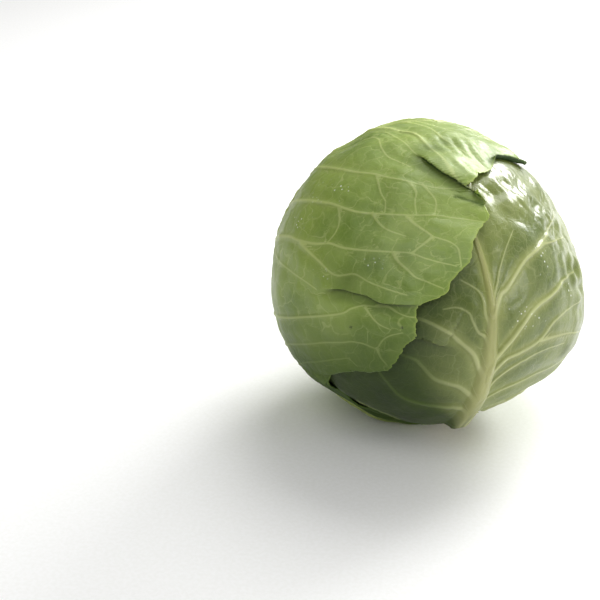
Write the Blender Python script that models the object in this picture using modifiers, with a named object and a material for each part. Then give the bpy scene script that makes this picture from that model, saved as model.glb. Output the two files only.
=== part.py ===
"""A whole round head of cabbage, as picked: a cut stem, a dense heart and six wrapper leaves.

The head leans back, so that its cut stem points down and towards the front right, and it rests on a
small flat spot behind the stem. Lengths are in metres. A place on the head is a pair of angles in
degrees: (up, round), up from the cut stem over the side of the head, and round from its front, growing
towards the right.
"""

import math

import bmesh
import bpy
import numpy as np
from mathutils import Vector
from mathutils.bvhtree import BVHTree

# The head
HEAD_CENTRE = Vector((0.0013, 0.0016, 0.0868))
HEART_ACROSS = 0.0800
HEART_ALONG = 0.0785
STEM_TILT = 21.0
STEM_TURN = 32.0
FRONT_RISE = 26.0
SWELLS = [
    # up, round, height, spread in degrees
    (62, 88, 0.0030, 26),
    (104, 76, -0.0110, 36),
    (146, 78, -0.0036, 30),
    (160, -50, 0.0022, 22),
    (45, -62, -0.0035, 22),
    (100, -95, -0.0022, 30),
]

HEART_FOLDS = [
    # up, round, reach in degrees
    (150, 30, 60),
    (138, 152, 56),
    (148, -92, 50),
]
FOLD_HEIGHT = 0.0011
FOLD_SPREAD = 5.0

# The spot that the head rests on
REST_FLAT = 0.0780
REST_BLEND = 0.0010
REST_CLEAR = 13.0
REST_FADE = 24.0
LEAST_DOWN = 0.2
FLOOR_CUTTER = 0.4

# The leaves. A pair of values is at a rib's root and at its tip
BLADE = 0.0011
LEAF_GAP = 0.0005
RIB_WIDTH = (0.0085, 0.0016)
RIB_HEIGHT = (0.0052, 0.0006)
RIB_FADE = 0.8
RIB_SHOULDER = 0.55
RIB_SHARE = 0.5
VEIN_WIDTH = (0.0028, 0.0012)
VEIN_HEIGHT = (0.0010, 0.0003)
VEIN_REACH = 0.94
ROW_BEND = 0.35
EDGE_WIDTH = 0.018
EDGE_WAVES = 9
EDGE_WAVE_SHARE = 0.4
RAGGED = 0.0010
RAGGED_PACE = (5.1, 8.3)  # two waves of small tears, in radians a row
CHART_RADIUS = 0.0850
EVEN_MIDDLE = 75

# How finely a leaf is laid over what is below it
CAST_FROM = 0.20
FACE_STEPS = 7
TAUT_ROUNDS = 14
DRAPE_ROUNDS = 5

# The core that the leaves grow from
STEM_RADIUS = 0.0150
STEM_TIP_RADIUS = 0.0085
STEM_END = 0.0825
STEM_TIP = 0.0050
STEM_GAP = 0.0004
STEM_SIDES = 32
STEM_BEVEL = 0.0015
BORE_PAST_END = 0.02


def unit(vector):
    return vector / np.linalg.norm(vector)


def head_axes():
    """The head's axis from stem to top, its front, and its right-hand side, as unit vectors."""
    tilt, turn, rise = (math.radians(a) for a in (STEM_TILT, STEM_TURN, FRONT_RISE))
    stem = np.array(
        [math.sin(tilt) * math.sin(turn), -math.sin(tilt) * math.cos(turn), -math.cos(tilt)]
    )
    axis = -stem
    viewer = np.array([0.0, -math.cos(rise), math.sin(rise)])
    front = unit(viewer - viewer.dot(axis) * axis)
    return axis, front, np.cross(axis, front)


AXIS, FRONT, SIDE = head_axes()
DOWN = np.array([0.0, 0.0, -1.0])


def way_to(up, around):
    """The unit vector from the head's centre to the place at these angles."""
    up, around = math.radians(up), math.radians(around)
    level = math.cos(around) * FRONT + math.sin(around) * SIDE
    return math.sin(up) * level - math.cos(up) * AXIS


def smooth_step(low, high, value):
    share = np.clip((value - low) / (high - low), 0.0, 1.0)
    return share * share * (3.0 - 2.0 * share)


def tapered(ends, share):
    return ends[0] + (ends[1] - ends[0]) * share


def degrees_from(ways, towards):
    return np.degrees(np.arccos(np.clip(ways @ towards, -1.0, 1.0)))


def heart_radius(ways):
    """How far the heart reaches in each direction: a squat ball, swollen here and there, flat below."""
    along = ways @ AXIS
    radius = 1.0 / np.sqrt(along**2 / HEART_ALONG**2 + (1.0 - along**2) / HEART_ACROSS**2)
    for up, around, height, spread in SWELLS:
        radius = radius + height * np.exp(-((degrees_from(ways, way_to(up, around)) / spread) ** 2))
    to_flat = REST_FLAT / np.maximum(ways @ DOWN, LEAST_DOWN)
    mix = np.clip(0.5 + 0.5 * (to_flat - radius) / REST_BLEND, 0.0, 1.0)
    return to_flat * (1.0 - mix) + radius * mix - REST_BLEND * mix * (1.0 - mix)


def off_rest(ways):
    """0 on the spot that the head rests on, 1 away from it."""
    return smooth_step(REST_CLEAR, REST_FADE, degrees_from(ways, DOWN))


class Chart:
    """A flat map of the head round one place, true to distance from its middle. North is up the head."""

    def __init__(self, up, around):
        self.middle = way_to(up, around)
        self.north = unit(AXIS - AXIS.dot(self.middle) * self.middle)
        self.east = np.cross(self.north, self.middle)

    def flat(self, ways):
        angle = np.arccos(np.clip(ways @ self.middle, -1.0, 1.0))
        stretch = CHART_RADIUS * angle / np.maximum(np.sin(angle), 1e-9)
        return np.stack([ways @ self.east, ways @ self.north], -1) * stretch[..., None]

    def wrap(self, points):
        distance = np.maximum(np.linalg.norm(points, axis=-1, keepdims=True), 1e-12)
        angle = distance / CHART_RADIUS
        level = (points[..., :1] * self.east + points[..., 1:] * self.north) / distance
        return np.cos(angle) * self.middle + np.sin(angle) * level


def curve_through(points, at):
    """A smooth curve through the points, read at these positions counted in points."""
    last = len(points) - 1
    at = np.clip(at, 0.0, last)
    start = np.minimum(at.astype(int), last - 1)
    share = (at - start)[..., None]
    a, b = points[np.maximum(start - 1, 0)], points[start]
    c, d = points[start + 1], points[np.minimum(start + 2, last)]
    return 0.5 * (
        2.0 * b
        + (c - a) * share
        + (2.0 * a - 5.0 * b + 4.0 * c - d) * share**2
        + (3.0 * b - a - 3.0 * c + d) * share**3
    )


class Leaf:
    """One wrapper leaf. rib is the midrib's places from stem to tip. A row runs across the leaf, from the
    midrib out to both edges: (how far up the midrib, place on the right edge, place on the left edge).
    From the row numbered first_vein on, each row but the last carries a side vein on either side.
    sweep bends the rows towards the leaf's tip, and lift is how far its edge stands off in waves."""

    def __init__(self, name, middle, rib, rows, colour, lift=0.0, sweep=0.16, fine=False):
        self.name, self.colour = name, colour
        self.edge_lift, self.sweep = lift, sweep
        self.first_vein = 4 if fine else 3
        self.between_rows = (0.0, 0.3, 0.7) if fine else (0.0, 0.5)
        self.columns = 11 if fine else 9
        self.chart = Chart(*middle)
        self.rib = self.on_chart(rib)
        self.starts = np.interp([row[0] for row in rows], [up for up, _ in rib], np.arange(len(rib)))
        self.last_row = len(rows) - 1
        self.edges = {1: self.on_chart(row[1] for row in rows), -1: self.on_chart(row[2] for row in rows)}
        self.outline = np.concatenate([self.edge(1), self.edge(-1)[::-1]])

    def on_chart(self, places):
        return self.chart.flat(np.array([way_to(*place) for place in places]))

    def row_points(self, side, row, across):
        """Chart points on one side, row counted in rows from the base, across from rib 0 to edge 1."""
        on_rib = np.interp(row, np.arange(len(self.starts)), self.starts)
        root = curve_through(self.rib, on_rib)
        ahead = curve_through(self.rib, on_rib + 0.05) - curve_through(self.rib, on_rib - 0.05)
        ahead = ahead / np.linalg.norm(ahead, axis=-1, keepdims=True)
        run = curve_through(self.edges[side], row) - root
        length = np.linalg.norm(run, axis=-1, keepdims=True)
        bend = root + ROW_BEND * run + self.sweep * length * ahead
        t = across[..., None]
        slow, quick = RAGGED_PACE
        torn = RAGGED * (np.sin(slow * row) + np.sin(quick * row + 1.0)) * across**4
        torn = torn * smooth_step(0.0, 2.0, row) * smooth_step(0.0, 2.0, self.last_row - row)
        out = 1.0 + torn[..., None] / np.maximum(length, 1e-9)
        return (1 - t) ** 2 * root + 2 * t * (1 - t) * bend + t**2 * (root + run * out)

    def edge(self, side):
        return self.row_points(side, np.linspace(0, self.last_row, 100), np.ones(100))

    def ridges(self):
        """Chart points along the midrib and each side vein, with the ridge's half width and height."""
        along = np.linspace(0.0, 1.0, 120)
        fade = along**RIB_FADE
        middle = curve_through(self.rib, along * (len(self.rib) - 1))
        lines = [(middle, tapered(RIB_WIDTH, fade), tapered(RIB_HEIGHT, fade))]
        out = np.linspace(0.0, VEIN_REACH, 60)
        for side in self.edges:
            for row in range(self.first_vein, self.last_row):
                line = self.row_points(side, np.full(60, float(row)), out)
                lines.append((line, tapered(VEIN_WIDTH, out), tapered(VEIN_HEIGHT, out) * (1 - out**4)))
        return lines

    def depth(self, ways):
        """The leaf's thickness: the blade, and the ribs that stand out of it."""
        points = self.chart.flat(ways)
        height = np.zeros(len(points))
        for line, widths, heights in self.ridges():
            away = np.linalg.norm(points[:, None, :] - line[None, :, :], axis=2)
            nearest = away.argmin(axis=1)
            share = np.clip(away.min(axis=1) / widths[nearest], 0.0, 1.0)
            height = np.maximum(height, heights[nearest] * (1 - share**2))
        return BLADE + height * off_rest(ways)

    def edge_rise(self, ways):
        """How far the leaf's edge stands off what lies below, in waves along it."""
        points = self.chart.flat(ways)
        away = np.linalg.norm(points[:, None, :] - self.outline[None, :, :], axis=2).min(axis=1)
        wave = np.sin(EDGE_WAVES * np.arctan2(points[:, 1], points[:, 0]))
        wave = 1.0 - EDGE_WAVE_SHARE + EDGE_WAVE_SHARE * wave
        return self.edge_lift * (1.0 - smooth_step(0.0, EDGE_WIDTH, away)) * wave * off_rest(ways)


def even_leaf(name, turn, tip, half_width, colour):
    """A leaf whose two sides match: a thick clasping base, then a blade that is broad up to its tip."""
    plan = [
        # degrees up the rib and up the edge, share of the half width
        (11.5, 11.5, 0.36), (16, 16.5, 0.34), (20, 19, 0.56), (25, 29, 0.80), (33, 44, 0.92),
        (45, 62, 1.00), (58, 81, 1.00), (72, 99, 0.95), (88, 115, 0.84), (104, 127, 0.64),
        (119, 133, 0.38), (132, 134, 0.12),
    ]
    base, full = plan[0][0], plan[-1][0]
    rows = []
    for up, edge_up, width in plan:
        edge_up, reach = max(base, edge_up * tip / full), width * half_width
        up = base + (up - base) * (tip - base) / (full - base)
        rows.append((up, (edge_up, turn + reach), (edge_up, turn - reach)))
    rib = [(base + share * (tip - base), turn) for share in (0.0, 0.15, 0.35, 0.6, 0.8, 1.0)]
    return Leaf(name, (EVEN_MIDDLE, turn), rib, rows, colour)


def front_leaf():
    """The pale leaf over the front, whose thick midrib climbs from the stem and forks."""
    return Leaf(
        "leaf_front",
        (80, 20),
        rib=[
            (11.5, 8), (30, 11), (50, 16), (68, 18.5), (82, 20), (100, 19.5), (125, 17), (154, 14),
        ],
        rows=[
            (11.5, (11.5, 42), (11.5, -26)), (17, (18, 34), (16, -20)), (23, (27, 26), (20, -20)),
            (28.5, (35, 29), (22.5, -26)), (34.5, (42, 47), (30, -38)), (41, (49, 74), (46, -54)),
            (46.6, (62, 91), (62, -62)), (53, (78, 98), (76, -66)), (59.5, (94, 101), (90, -65)),
            (72.5, (111, 98), (108, -58)), (86.5, (127, 92), (125, -48)),
            (101, (140, 78), (140, -34)), (118, (149, 58), (149, -18)), (137, (154, 38), (154, -2)),
            (154, (156, 20), (156, 8)),
        ],
        colour=(0.47, 0.55, 0.27, 1),
        lift=0.0010,
        fine=True,
    )


def cover_leaf():
    """The outermost, darker leaf. Its midrib climbs the left, and its torn edge crosses the front."""
    return Leaf(
        "leaf_cover",
        (108, -75),
        rib=[
            (11.5, -100), (30, -101), (55, -102), (80, -99), (105, -95), (130, -90), (150, -85),
            (170, -80), (190, -77), (211, -75),
        ],
        rows=[
            (11.5, (11.5, -66), (11.5, -152)), (19, (18, -72), (17, -176)),
            (27, (24, -76), (24, -196)), (37, (38, -66), (36, -194)), (49, (55, -57), (54, -186)),
            (61, (63, -42), (70, -177)), (72, (64, -25), (84, -171)), (82, (71, -12), (96, -169)),
            (91, (81, -5.5), (107, -168)), (99, (88, 2), (116, -170)), (107, (97, 11), (124, -173)),
            (115, (107, 21.5), (131, -179)), (123, (116, 24), (137, -187)),
            (131, (127, 28), (142, -198)), (140, (135, 50), (146, -210)),
            (152, (127, 63), (149, -221)), (168, (132, 76), (150, -232)),
            (189, (139, 88), (150, -242)), (211, (146, 98), (148, -250)),
        ],
        colour=(0.27, 0.40, 0.13, 1),
        lift=0.0030,
        sweep=-0.02,
        fine=True,
    )


def wrapper_leaves():
    """The six leaves, from the innermost out. Each grows about 137 degrees round from the one before."""
    return [
        even_leaf("leaf_under", -151, 116, 76, (0.46, 0.55, 0.26, 1)),
        even_leaf("leaf_right", 72, 130, 80, (0.50, 0.57, 0.28, 1)),
        even_leaf("leaf_left", -65, 118, 78, (0.40, 0.50, 0.22, 1)),
        even_leaf("leaf_back", 156, 150, 84, (0.44, 0.54, 0.25, 1)),
        front_leaf(),
        cover_leaf(),
    ]


def leaf_grid(leaf):
    """Chart points of a grid over the leaf: the rib's crest, shoulder and foot, then out to the edge."""
    rows = [row + share for row in range(leaf.last_row) for share in leaf.between_rows]
    rows = np.array(rows + [leaf.last_row], dtype=float)
    up_rib = np.interp(rows, np.arange(len(leaf.starts)), leaf.starts) / (len(leaf.rib) - 1)
    halves = {}
    for side in leaf.edges:
        root, rim = (leaf.row_points(side, rows, np.full(len(rows), end)) for end in (0.0, 1.0))
        foot = tapered(RIB_WIDTH, up_rib**RIB_FADE) / np.linalg.norm(rim - root, axis=1)
        foot = np.clip(foot, 0.0, RIB_SHARE)[:, None]
        out = np.linspace(0.0, 1.0, leaf.columns - 2)
        across = np.concatenate([0 * foot, RIB_SHOULDER * foot, foot + (1 - foot) * out], axis=1)
        halves[side] = leaf.row_points(side, np.repeat(rows[:, None], leaf.columns, 1), across)
    return np.concatenate([halves[-1][:, :0:-1], halves[1]], axis=1)


def flat_leaf(leaf):
    """The leaf as a flat grid on its chart."""
    chart_points = leaf_grid(leaf)
    rows, across = chart_points.shape[:2]
    bm = bmesh.new()
    bmesh.ops.create_grid(bm, x_segments=across - 1, y_segments=rows - 1, size=1.0)
    for vertex in bm.verts:
        column = round((vertex.co.x + 1) / 2 * (across - 1))
        row = round((vertex.co.y + 1) / 2 * (rows - 1))
        vertex.co = (*chart_points[row, column], 0.0)
    bmesh.ops.triangulate(bm, faces=bm.faces)
    return bm


def outer_radius(below, ways):
    """How far out what lies below reaches in each direction."""
    reach = np.zeros(len(ways))
    for index, way in enumerate(ways):
        way = Vector(way)
        hit = below.ray_cast(way * CAST_FROM, -way, CAST_FROM)[0]
        reach[index] = hit.length if hit else 0.0
    return reach


def pressed_flat(ways, radius):
    """Over the rest spot the leaf lies on one level plane, as low as what is under it reaches."""
    down = ways @ DOWN
    spot = degrees_from(ways, DOWN) < REST_CLEAR
    if spot.any():
        level = (radius * down)[spot].max()
        radius = np.where(spot, np.maximum(radius, level / np.maximum(down, LEAST_DOWN)), radius)
    return radius


def pulled_taut(rise, least, edges):
    """Each corner moves to the mean of its neighbours, but stays clear of what lies below."""
    for _ in range(TAUT_ROUNDS):
        total, count = np.zeros(len(rise)), np.zeros(len(rise))
        for one, other in (edges.T, edges.T[::-1]):
            np.add.at(total, one, rise[other])
            np.add.at(count, one, 1.0)
        rise = np.maximum(least, total / count)
    return rise


def face_samples(ways, faces):
    """Evenly spread shares of a face's corners, and the directions there for every face."""
    steps = range(FACE_STEPS + 1)
    shares = np.array([(a, b, FACE_STEPS - a - b) for a in steps for b in steps if a + b <= FACE_STEPS])
    shares = shares / FACE_STEPS
    places = np.einsum("sk,fkd->fsd", shares, ways[faces])
    return shares, places / np.linalg.norm(places, axis=2, keepdims=True)


def short_at_corners(points, faces, peaks):
    """How much each face has to rise to clear the corners of what lies below it."""
    leaf = BVHTree.FromPolygons(points.tolist(), faces.tolist())
    short = np.zeros(len(faces))
    for peak in peaks:
        way = peak.normalized()
        hit, _, face, _ = leaf.ray_cast(way * CAST_FROM, -way, CAST_FROM)
        if hit:
            short[face] = max(short[face], peak.length + LEAF_GAP - hit.length)
    return short


def draped(ways, faces, edges, below, peaks):
    """The radius at each corner of a leaf laid over what lies below, so that no face cuts into it."""
    floor = heart_radius(ways)
    least = pressed_flat(ways, outer_radius(below, ways) + LEAF_GAP) - floor
    shares, places = face_samples(ways, faces)
    needed = outer_radius(below, places.reshape(-1, 3)).reshape(places.shape[:2]) + LEAF_GAP
    rise = pulled_taut(least, least, edges)
    for _ in range(DRAPE_ROUNDS):
        points = ways * (floor + rise)[:, None]
        sampled = np.linalg.norm(np.einsum("sk,fkd->fsd", shares, points[faces]), axis=2)
        short = np.maximum((needed - sampled).max(axis=1), short_at_corners(points, faces, peaks))
        lift = np.zeros(len(ways))
        np.maximum.at(lift, faces, np.maximum(short, 0.0)[:, None])
        least = np.where(lift > 0, np.maximum(least, rise + lift), least)
        rise = pulled_taut(rise, least, edges)
    return floor + rise


def surface_below(objects):
    """A search tree over the outside of all these objects, about the head's centre, and its corners."""
    corners, faces = [], []
    graph = bpy.context.evaluated_depsgraph_get()
    for obj in objects:
        mesh = obj.evaluated_get(graph).to_mesh()
        faces += [[len(corners) + index for index in face.vertices] for face in mesh.polygons]
        corners += [vertex.co.copy() for vertex in mesh.vertices]
    return BVHTree.FromPolygons(corners, faces), corners


def shown(name, bm, colour, roughness):
    """An object in the head's collection, with its own material."""
    material = bpy.data.materials.new(name)
    material.use_nodes = True
    surface = material.node_tree.nodes["Principled BSDF"]
    surface.inputs["Base Color"].default_value = colour
    surface.inputs["Roughness"].default_value = roughness
    surface.inputs["Metallic"].default_value = 0.0
    obj = placed(name, bm, "cabbage")
    obj.data.materials.append(material)
    obj.data.shade_smooth()
    return obj


def placed(name, bm, collection):
    mesh = bpy.data.meshes.new(name)
    bm.to_mesh(mesh)
    bm.free()
    obj = bpy.data.objects.new(name, mesh)
    obj.location = HEAD_CENTRE
    bpy.data.collections[collection].objects.link(obj)
    return obj


def cutter(name, bm):
    obj = placed(name, bm, "cutters")
    obj.hide_render = True
    obj.display_type = "WIRE"
    return obj


def cut_by(obj, name, tool):
    cut = obj.modifiers.new(name, "BOOLEAN")
    cut.operation = "DIFFERENCE"
    cut.object = tool


def make_leaf(leaf, objects):
    """A leaf over everything made so far, extruded outwards by its depth, which is more along its ribs."""
    bm = flat_leaf(leaf)
    ways = leaf.chart.wrap(np.array([vertex.co.to_2d() for vertex in bm.verts]))
    faces = np.array([[vertex.index for vertex in face.verts] for face in bm.faces])
    edges = np.array([[vertex.index for vertex in edge.verts] for edge in bm.edges])
    radius = draped(ways, faces, edges, *surface_below(objects)) + leaf.edge_rise(ways)
    layer = bm.verts.layers.float.new("depth")
    for vertex, way, reach, depth in zip(bm.verts, ways, radius, leaf.depth(ways)):
        vertex.co = way * reach
        vertex[layer] = depth
    grown = bmesh.ops.extrude_face_region(bm, geom=bm.faces[:], use_keep_orig=True)
    for item in grown["geom"]:
        if isinstance(item, bmesh.types.BMVert):
            item.co += item.co.normalized() * item[layer]
    bmesh.ops.recalc_face_normals(bm, faces=bm.faces)
    return shown(leaf.name, bm, leaf.colour, 0.45)


def core_shape(gap, beyond):
    """A cone along the head's axis, grown by a gap all round and past its lower end."""
    low, high = -(STEM_END + beyond), gap - STEM_TIP
    widening = (STEM_RADIUS - STEM_TIP_RADIUS) / (STEM_END - STEM_TIP)
    bm = bmesh.new()
    bmesh.ops.create_cone(
        bm, cap_ends=True, segments=STEM_SIDES, depth=high - low,
        radius1=STEM_RADIUS + gap + beyond * widening, radius2=STEM_TIP_RADIUS + gap,
    )
    bmesh.ops.translate(bm, vec=(0, 0, (low + high) / 2), verts=bm.verts)
    turn = Vector((0, 0, 1)).rotation_difference(Vector(AXIS)).to_matrix()
    bmesh.ops.rotate(bm, matrix=turn, verts=bm.verts)
    return bm


def make_stem():
    """The tapering core, from the cut end that shows below to its blunt tip inside the heart."""
    obj = shown("stem", core_shape(0.0, 0.0), (0.66, 0.66, 0.44, 1), 0.6)
    edge = obj.modifiers.new("Cut edge", "BEVEL")
    edge.width = STEM_BEVEL
    edge.segments = 2
    return obj


def folded_over(ways):
    """The steps that the heart's own outer leaves make, where one lies over the next."""
    height = np.zeros(len(ways))
    for up, around, reach in HEART_FOLDS:
        within = reach - degrees_from(ways, way_to(up, around))
        height += FOLD_HEIGHT * smooth_step(-FOLD_SPREAD, FOLD_SPREAD, within)
    return height


def make_heart():
    """The dense inner head, bored from below for the core that it grows on."""
    bm = bmesh.new()
    bmesh.ops.create_icosphere(bm, subdivisions=4, radius=1.0)
    ways = np.array([vertex.co.normalized() for vertex in bm.verts])
    for vertex, way, reach in zip(bm.verts, ways, heart_radius(ways) + folded_over(ways)):
        vertex.co = way * reach
    obj = shown("heart", bm, (0.62, 0.66, 0.38, 1), 0.5)
    cut_by(obj, "Bore for the core", cutter("core_bore", core_shape(STEM_GAP, BORE_PAST_END)))
    return obj


def main():
    for old in list(bpy.data.objects):
        bpy.data.objects.remove(old, do_unlink=True)
    for name in ("cabbage", "cutters"):
        bpy.context.scene.collection.children.link(bpy.data.collections.new(name))
    made = [make_heart()]
    for leaf in wrapper_leaves():
        made.append(make_leaf(leaf, made))
    make_stem()
    block = bmesh.new()
    bmesh.ops.create_cube(block, size=FLOOR_CUTTER)
    floor = cutter("floor", block)
    floor.location = (0, 0, -FLOOR_CUTTER / 2)
    for obj in made[1:]:
        cut_by(obj, "Rest spot", floor)


main()
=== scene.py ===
# %% [markdown]
# # A whole round head of cabbage
#
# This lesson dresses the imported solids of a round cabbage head: six wrapper leaves, the dense heart
# and the cut stem. The solids already have the right sizes and places. What they lack is what makes a
# leaf look alive: a thin blade with cord-like veins, puckers, pleats, a torn margin and a waxy skin.
# Everything is built from a few measured places on the head, so that each step can be read and changed.

import math

import bmesh
import bpy
import numpy as np
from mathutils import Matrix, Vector
from mathutils.bvhtree import BVHTree
from mathutils.kdtree import KDTree


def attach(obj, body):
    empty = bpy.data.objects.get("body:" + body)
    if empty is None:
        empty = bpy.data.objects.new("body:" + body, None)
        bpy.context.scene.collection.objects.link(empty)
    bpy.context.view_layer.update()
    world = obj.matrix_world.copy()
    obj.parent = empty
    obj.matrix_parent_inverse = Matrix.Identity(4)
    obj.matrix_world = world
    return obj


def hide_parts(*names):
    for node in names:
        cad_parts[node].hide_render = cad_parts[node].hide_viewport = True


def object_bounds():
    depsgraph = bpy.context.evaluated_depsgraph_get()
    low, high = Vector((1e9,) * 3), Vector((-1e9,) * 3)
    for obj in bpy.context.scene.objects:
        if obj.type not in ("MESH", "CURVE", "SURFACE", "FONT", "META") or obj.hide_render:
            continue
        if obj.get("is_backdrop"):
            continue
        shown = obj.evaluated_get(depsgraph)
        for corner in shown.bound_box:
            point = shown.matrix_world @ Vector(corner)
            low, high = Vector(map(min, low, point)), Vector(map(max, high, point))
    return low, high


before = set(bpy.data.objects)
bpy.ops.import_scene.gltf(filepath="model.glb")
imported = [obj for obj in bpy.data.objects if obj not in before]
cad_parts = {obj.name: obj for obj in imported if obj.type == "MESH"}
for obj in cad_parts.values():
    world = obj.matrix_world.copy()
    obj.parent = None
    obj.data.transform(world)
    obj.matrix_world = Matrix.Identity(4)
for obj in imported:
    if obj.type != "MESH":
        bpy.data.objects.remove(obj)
cad_box = [list(corner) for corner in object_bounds()]
print("the solids measure", [round((high - low) * 1000, 1) for low, high in zip(*cad_box)], "mm")

# %% [markdown]
# ## Where the camera stands
#
# The picture is taken from a little above, with the head's stem pointing down and forward. A long lens
# keeps the round shape true. The camera looks a little past the head, so that the head lies right of the
# middle, as in the photograph. It could also be aimed with a constraint, but two angles are plainer.

# %% Camera
HEAD_CENTRE = np.array([0.0013, 0.0016, 0.0868])
CAMERA_RISE = math.radians(26)
CAMERA_AWAY = 0.800
LOOK_LEFT = math.radians(5.745)
LOOK_DOWN = math.radians(27.125)
LENS = 85


def add(name, data):
    thing = bpy.data.objects.new(name, data)
    bpy.context.scene.collection.objects.link(thing)
    return thing


camera = add("camera", bpy.data.cameras.new("camera"))
camera.data.lens = LENS
camera.data.clip_start = 0.05
viewer = np.array([0.0, -math.cos(CAMERA_RISE), math.sin(CAMERA_RISE)])
camera.location = HEAD_CENTRE + CAMERA_AWAY * viewer
camera.rotation_euler = (math.pi / 2 - LOOK_DOWN, 0, LOOK_LEFT)
bpy.context.scene.camera = camera
print("the camera stands", round(camera.location.z * 1000), "mm above the floor")

# %% [markdown]
# ## Light
#
# The gloss on a waxy leaf is the mirror image of its lamps, so the lamps decide half of its look. The
# strongest is a wide soft box behind the head and to the right, which gives the wet white patch on the
# upper right and leaves the lower left dark. One overhead rounds the top, a small one on the right
# lights that edge, and a broad weak one lifts the front. Spot lamps would be quicker to set, but their
# highlights and shadows have hard edges, and the photograph's are soft.

# %% Light
SOFT_BOXES = [
    # name, azimuth and rise in degrees, distance, width and height in metres, watts
    ("window", 34, 27, 1.1, 0.60, 0.42, 12),
    ("overhead", 25, 66, 1.2, 0.7, 0.7, 7),
    ("right side", 112, 16, 1.2, 0.5, 0.5, 3.5),
    ("front fill", 203, 46, 1.6, 1.0, 1.0, 8),
]


def compass(azimuth, rise):
    """A direction in degrees: azimuth from straight behind the head, growing to the right."""
    azimuth, rise = math.radians(azimuth), math.radians(rise)
    level = math.cos(rise)
    return np.array([math.sin(azimuth) * level, math.cos(azimuth) * level, math.sin(rise)])


def soft_box(name, azimuth, rise, away, width, height, watts):
    """A lamp panel that faces the head."""
    lamp = bpy.data.lights.new(name, "AREA")
    lamp.shape = "RECTANGLE"
    lamp.size, lamp.size_y = width, height
    lamp.energy = watts
    place = Vector(HEAD_CENTRE + away * compass(azimuth, rise))
    panel = add(name, lamp)
    panel.location = place
    panel.rotation_euler = (Vector(HEAD_CENTRE) - place).to_track_quat("-Z", "Y").to_euler()


for box in SOFT_BOXES:
    soft_box(*box)
bpy.context.scene.view_settings.view_transform = "Standard"
print(len(SOFT_BOXES), "soft boxes give", sum(box[-1] for box in SOFT_BOXES), "watts together")

# %% [markdown]
# ## The pale room
#
# Between the lamps, a glossy leaf mirrors the room. Here it is white, bright on the right and above and
# nearly dark on the left, which keeps the shaded side of the head deep. A photograph of a studio could
# be wrapped round the scene instead, but a smooth gradient is enough for wide soft reflections. It is
# the first recipe made of nodes, so it brings the two helpers that every later one uses: one adds a
# node and fills or wires its sockets, the other spreads a value smoothly between two limits.

# %% Nodes and the pale room
ROOM_DARK, ROOM_BRIGHT = 0.02, 0.62
BRIGHT_SIDE = compass(80, 45)
WHITE = (1.0, 1.0, 1.0, 1.0)


def node(tree, kind, sockets=None, **settings):
    made = tree.nodes.new(kind)
    for name, value in settings.items():
        setattr(made, name, value)
    for name, value in (sockets or {}).items():
        if isinstance(value, bpy.types.NodeSocket):
            tree.links.new(value, made.inputs[name])
        else:
            made.inputs[name].default_value = value
    return made


def ramp(tree, value, low, high, to_low=0.0, to_high=1.0):
    spread = {"Value": value, "From Min": low, "From Max": high, "To Min": to_low, "To Max": to_high}
    return node(tree, "ShaderNodeMapRange", spread, interpolation_type="SMOOTHSTEP").outputs["Result"]


world = bpy.data.worlds.new("studio")
bpy.context.scene.world = world
world.use_nodes = True
sky = world.node_tree
towards = node(sky, "ShaderNodeTexCoord").outputs["Generated"]
sides = {0: towards, 1: BRIGHT_SIDE}
facing = node(sky, "ShaderNodeVectorMath", sides, operation="DOT_PRODUCT").outputs["Value"]
strength = ramp(sky, facing, -0.35, 1.0, ROOM_DARK, ROOM_BRIGHT)
sky.links.new(strength, sky.nodes["Background"].inputs["Strength"])
sky.nodes["Background"].inputs["Color"].default_value = WHITE
print("the room is", round(ROOM_BRIGHT / ROOM_DARK), "times brighter on the right than on the left")

# %% [markdown]
# ## The floor's finish
#
# The head rests on a plain pale sheet. A finish is a net of nodes that ends in one Principled shader,
# and even a plain sheet isn't one flat colour: a faint speck keeps it from looking like a void. Colours
# are given as they look on a screen, 0 to 255, and turned into the linear values that the shader wants.

# %% The floor's finish
SPECK = 0.002


def colour(red, green, blue):
    shares = np.array([red, green, blue]) / 255
    return (*np.where(shares < 0.04045, shares / 12.92, ((shares + 0.055) / 1.055) ** 2.4), 1.0)


def mix(tree, share, under, over):
    blend = node(tree, "ShaderNodeMix", {0: share, 6: under, 7: over}, data_type="RGBA")
    return blend.outputs[2]


def noise(tree, places, size, detail=3.0, rough=0.5):
    """Cloudy noise whose patches are about size metres wide."""
    cloud = {"Vector": places, "Scale": 1.0 / size, "Detail": detail, "Roughness": rough}
    return node(tree, "ShaderNodeTexNoise", cloud).outputs["Fac"]


def new_finish(name):
    finish = bpy.data.materials.new(name)
    finish.use_nodes = True
    tree = finish.node_tree
    places = node(tree, "ShaderNodeTexCoord").outputs["Object"]
    return finish, tree, tree.nodes["Principled BSDF"], places


floor_finish, tree, surface, places = new_finish("pale floor")
speck = noise(tree, places, SPECK, 2.0)
paper = mix(tree, ramp(tree, speck, 0.3, 0.7), colour(243, 243, 241), colour(247, 247, 246))
tree.links.new(paper, surface.inputs["Base Color"])
surface.inputs["Roughness"].default_value = 0.8
print("the floor's finish has", len(tree.nodes), "nodes")

# %% [markdown]
# ## The floor
#
# One flat square is all that the floor needs, wide enough that the camera never sees its edge. A curved
# backdrop would hide the horizon, but the camera looks down and there is none.

# %% The floor
FLOOR_SIZE = 6.0
bm = bmesh.new()
bmesh.ops.create_grid(bm, x_segments=1, y_segments=1, size=FLOOR_SIZE / 2)
floor_mesh = bpy.data.meshes.new("floor")
bm.to_mesh(floor_mesh)
bm.free()
floor_mesh.materials.append(floor_finish)
floor = add("floor", floor_mesh)
floor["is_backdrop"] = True
print("the floor is", FLOOR_SIZE, "m wide")

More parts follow.
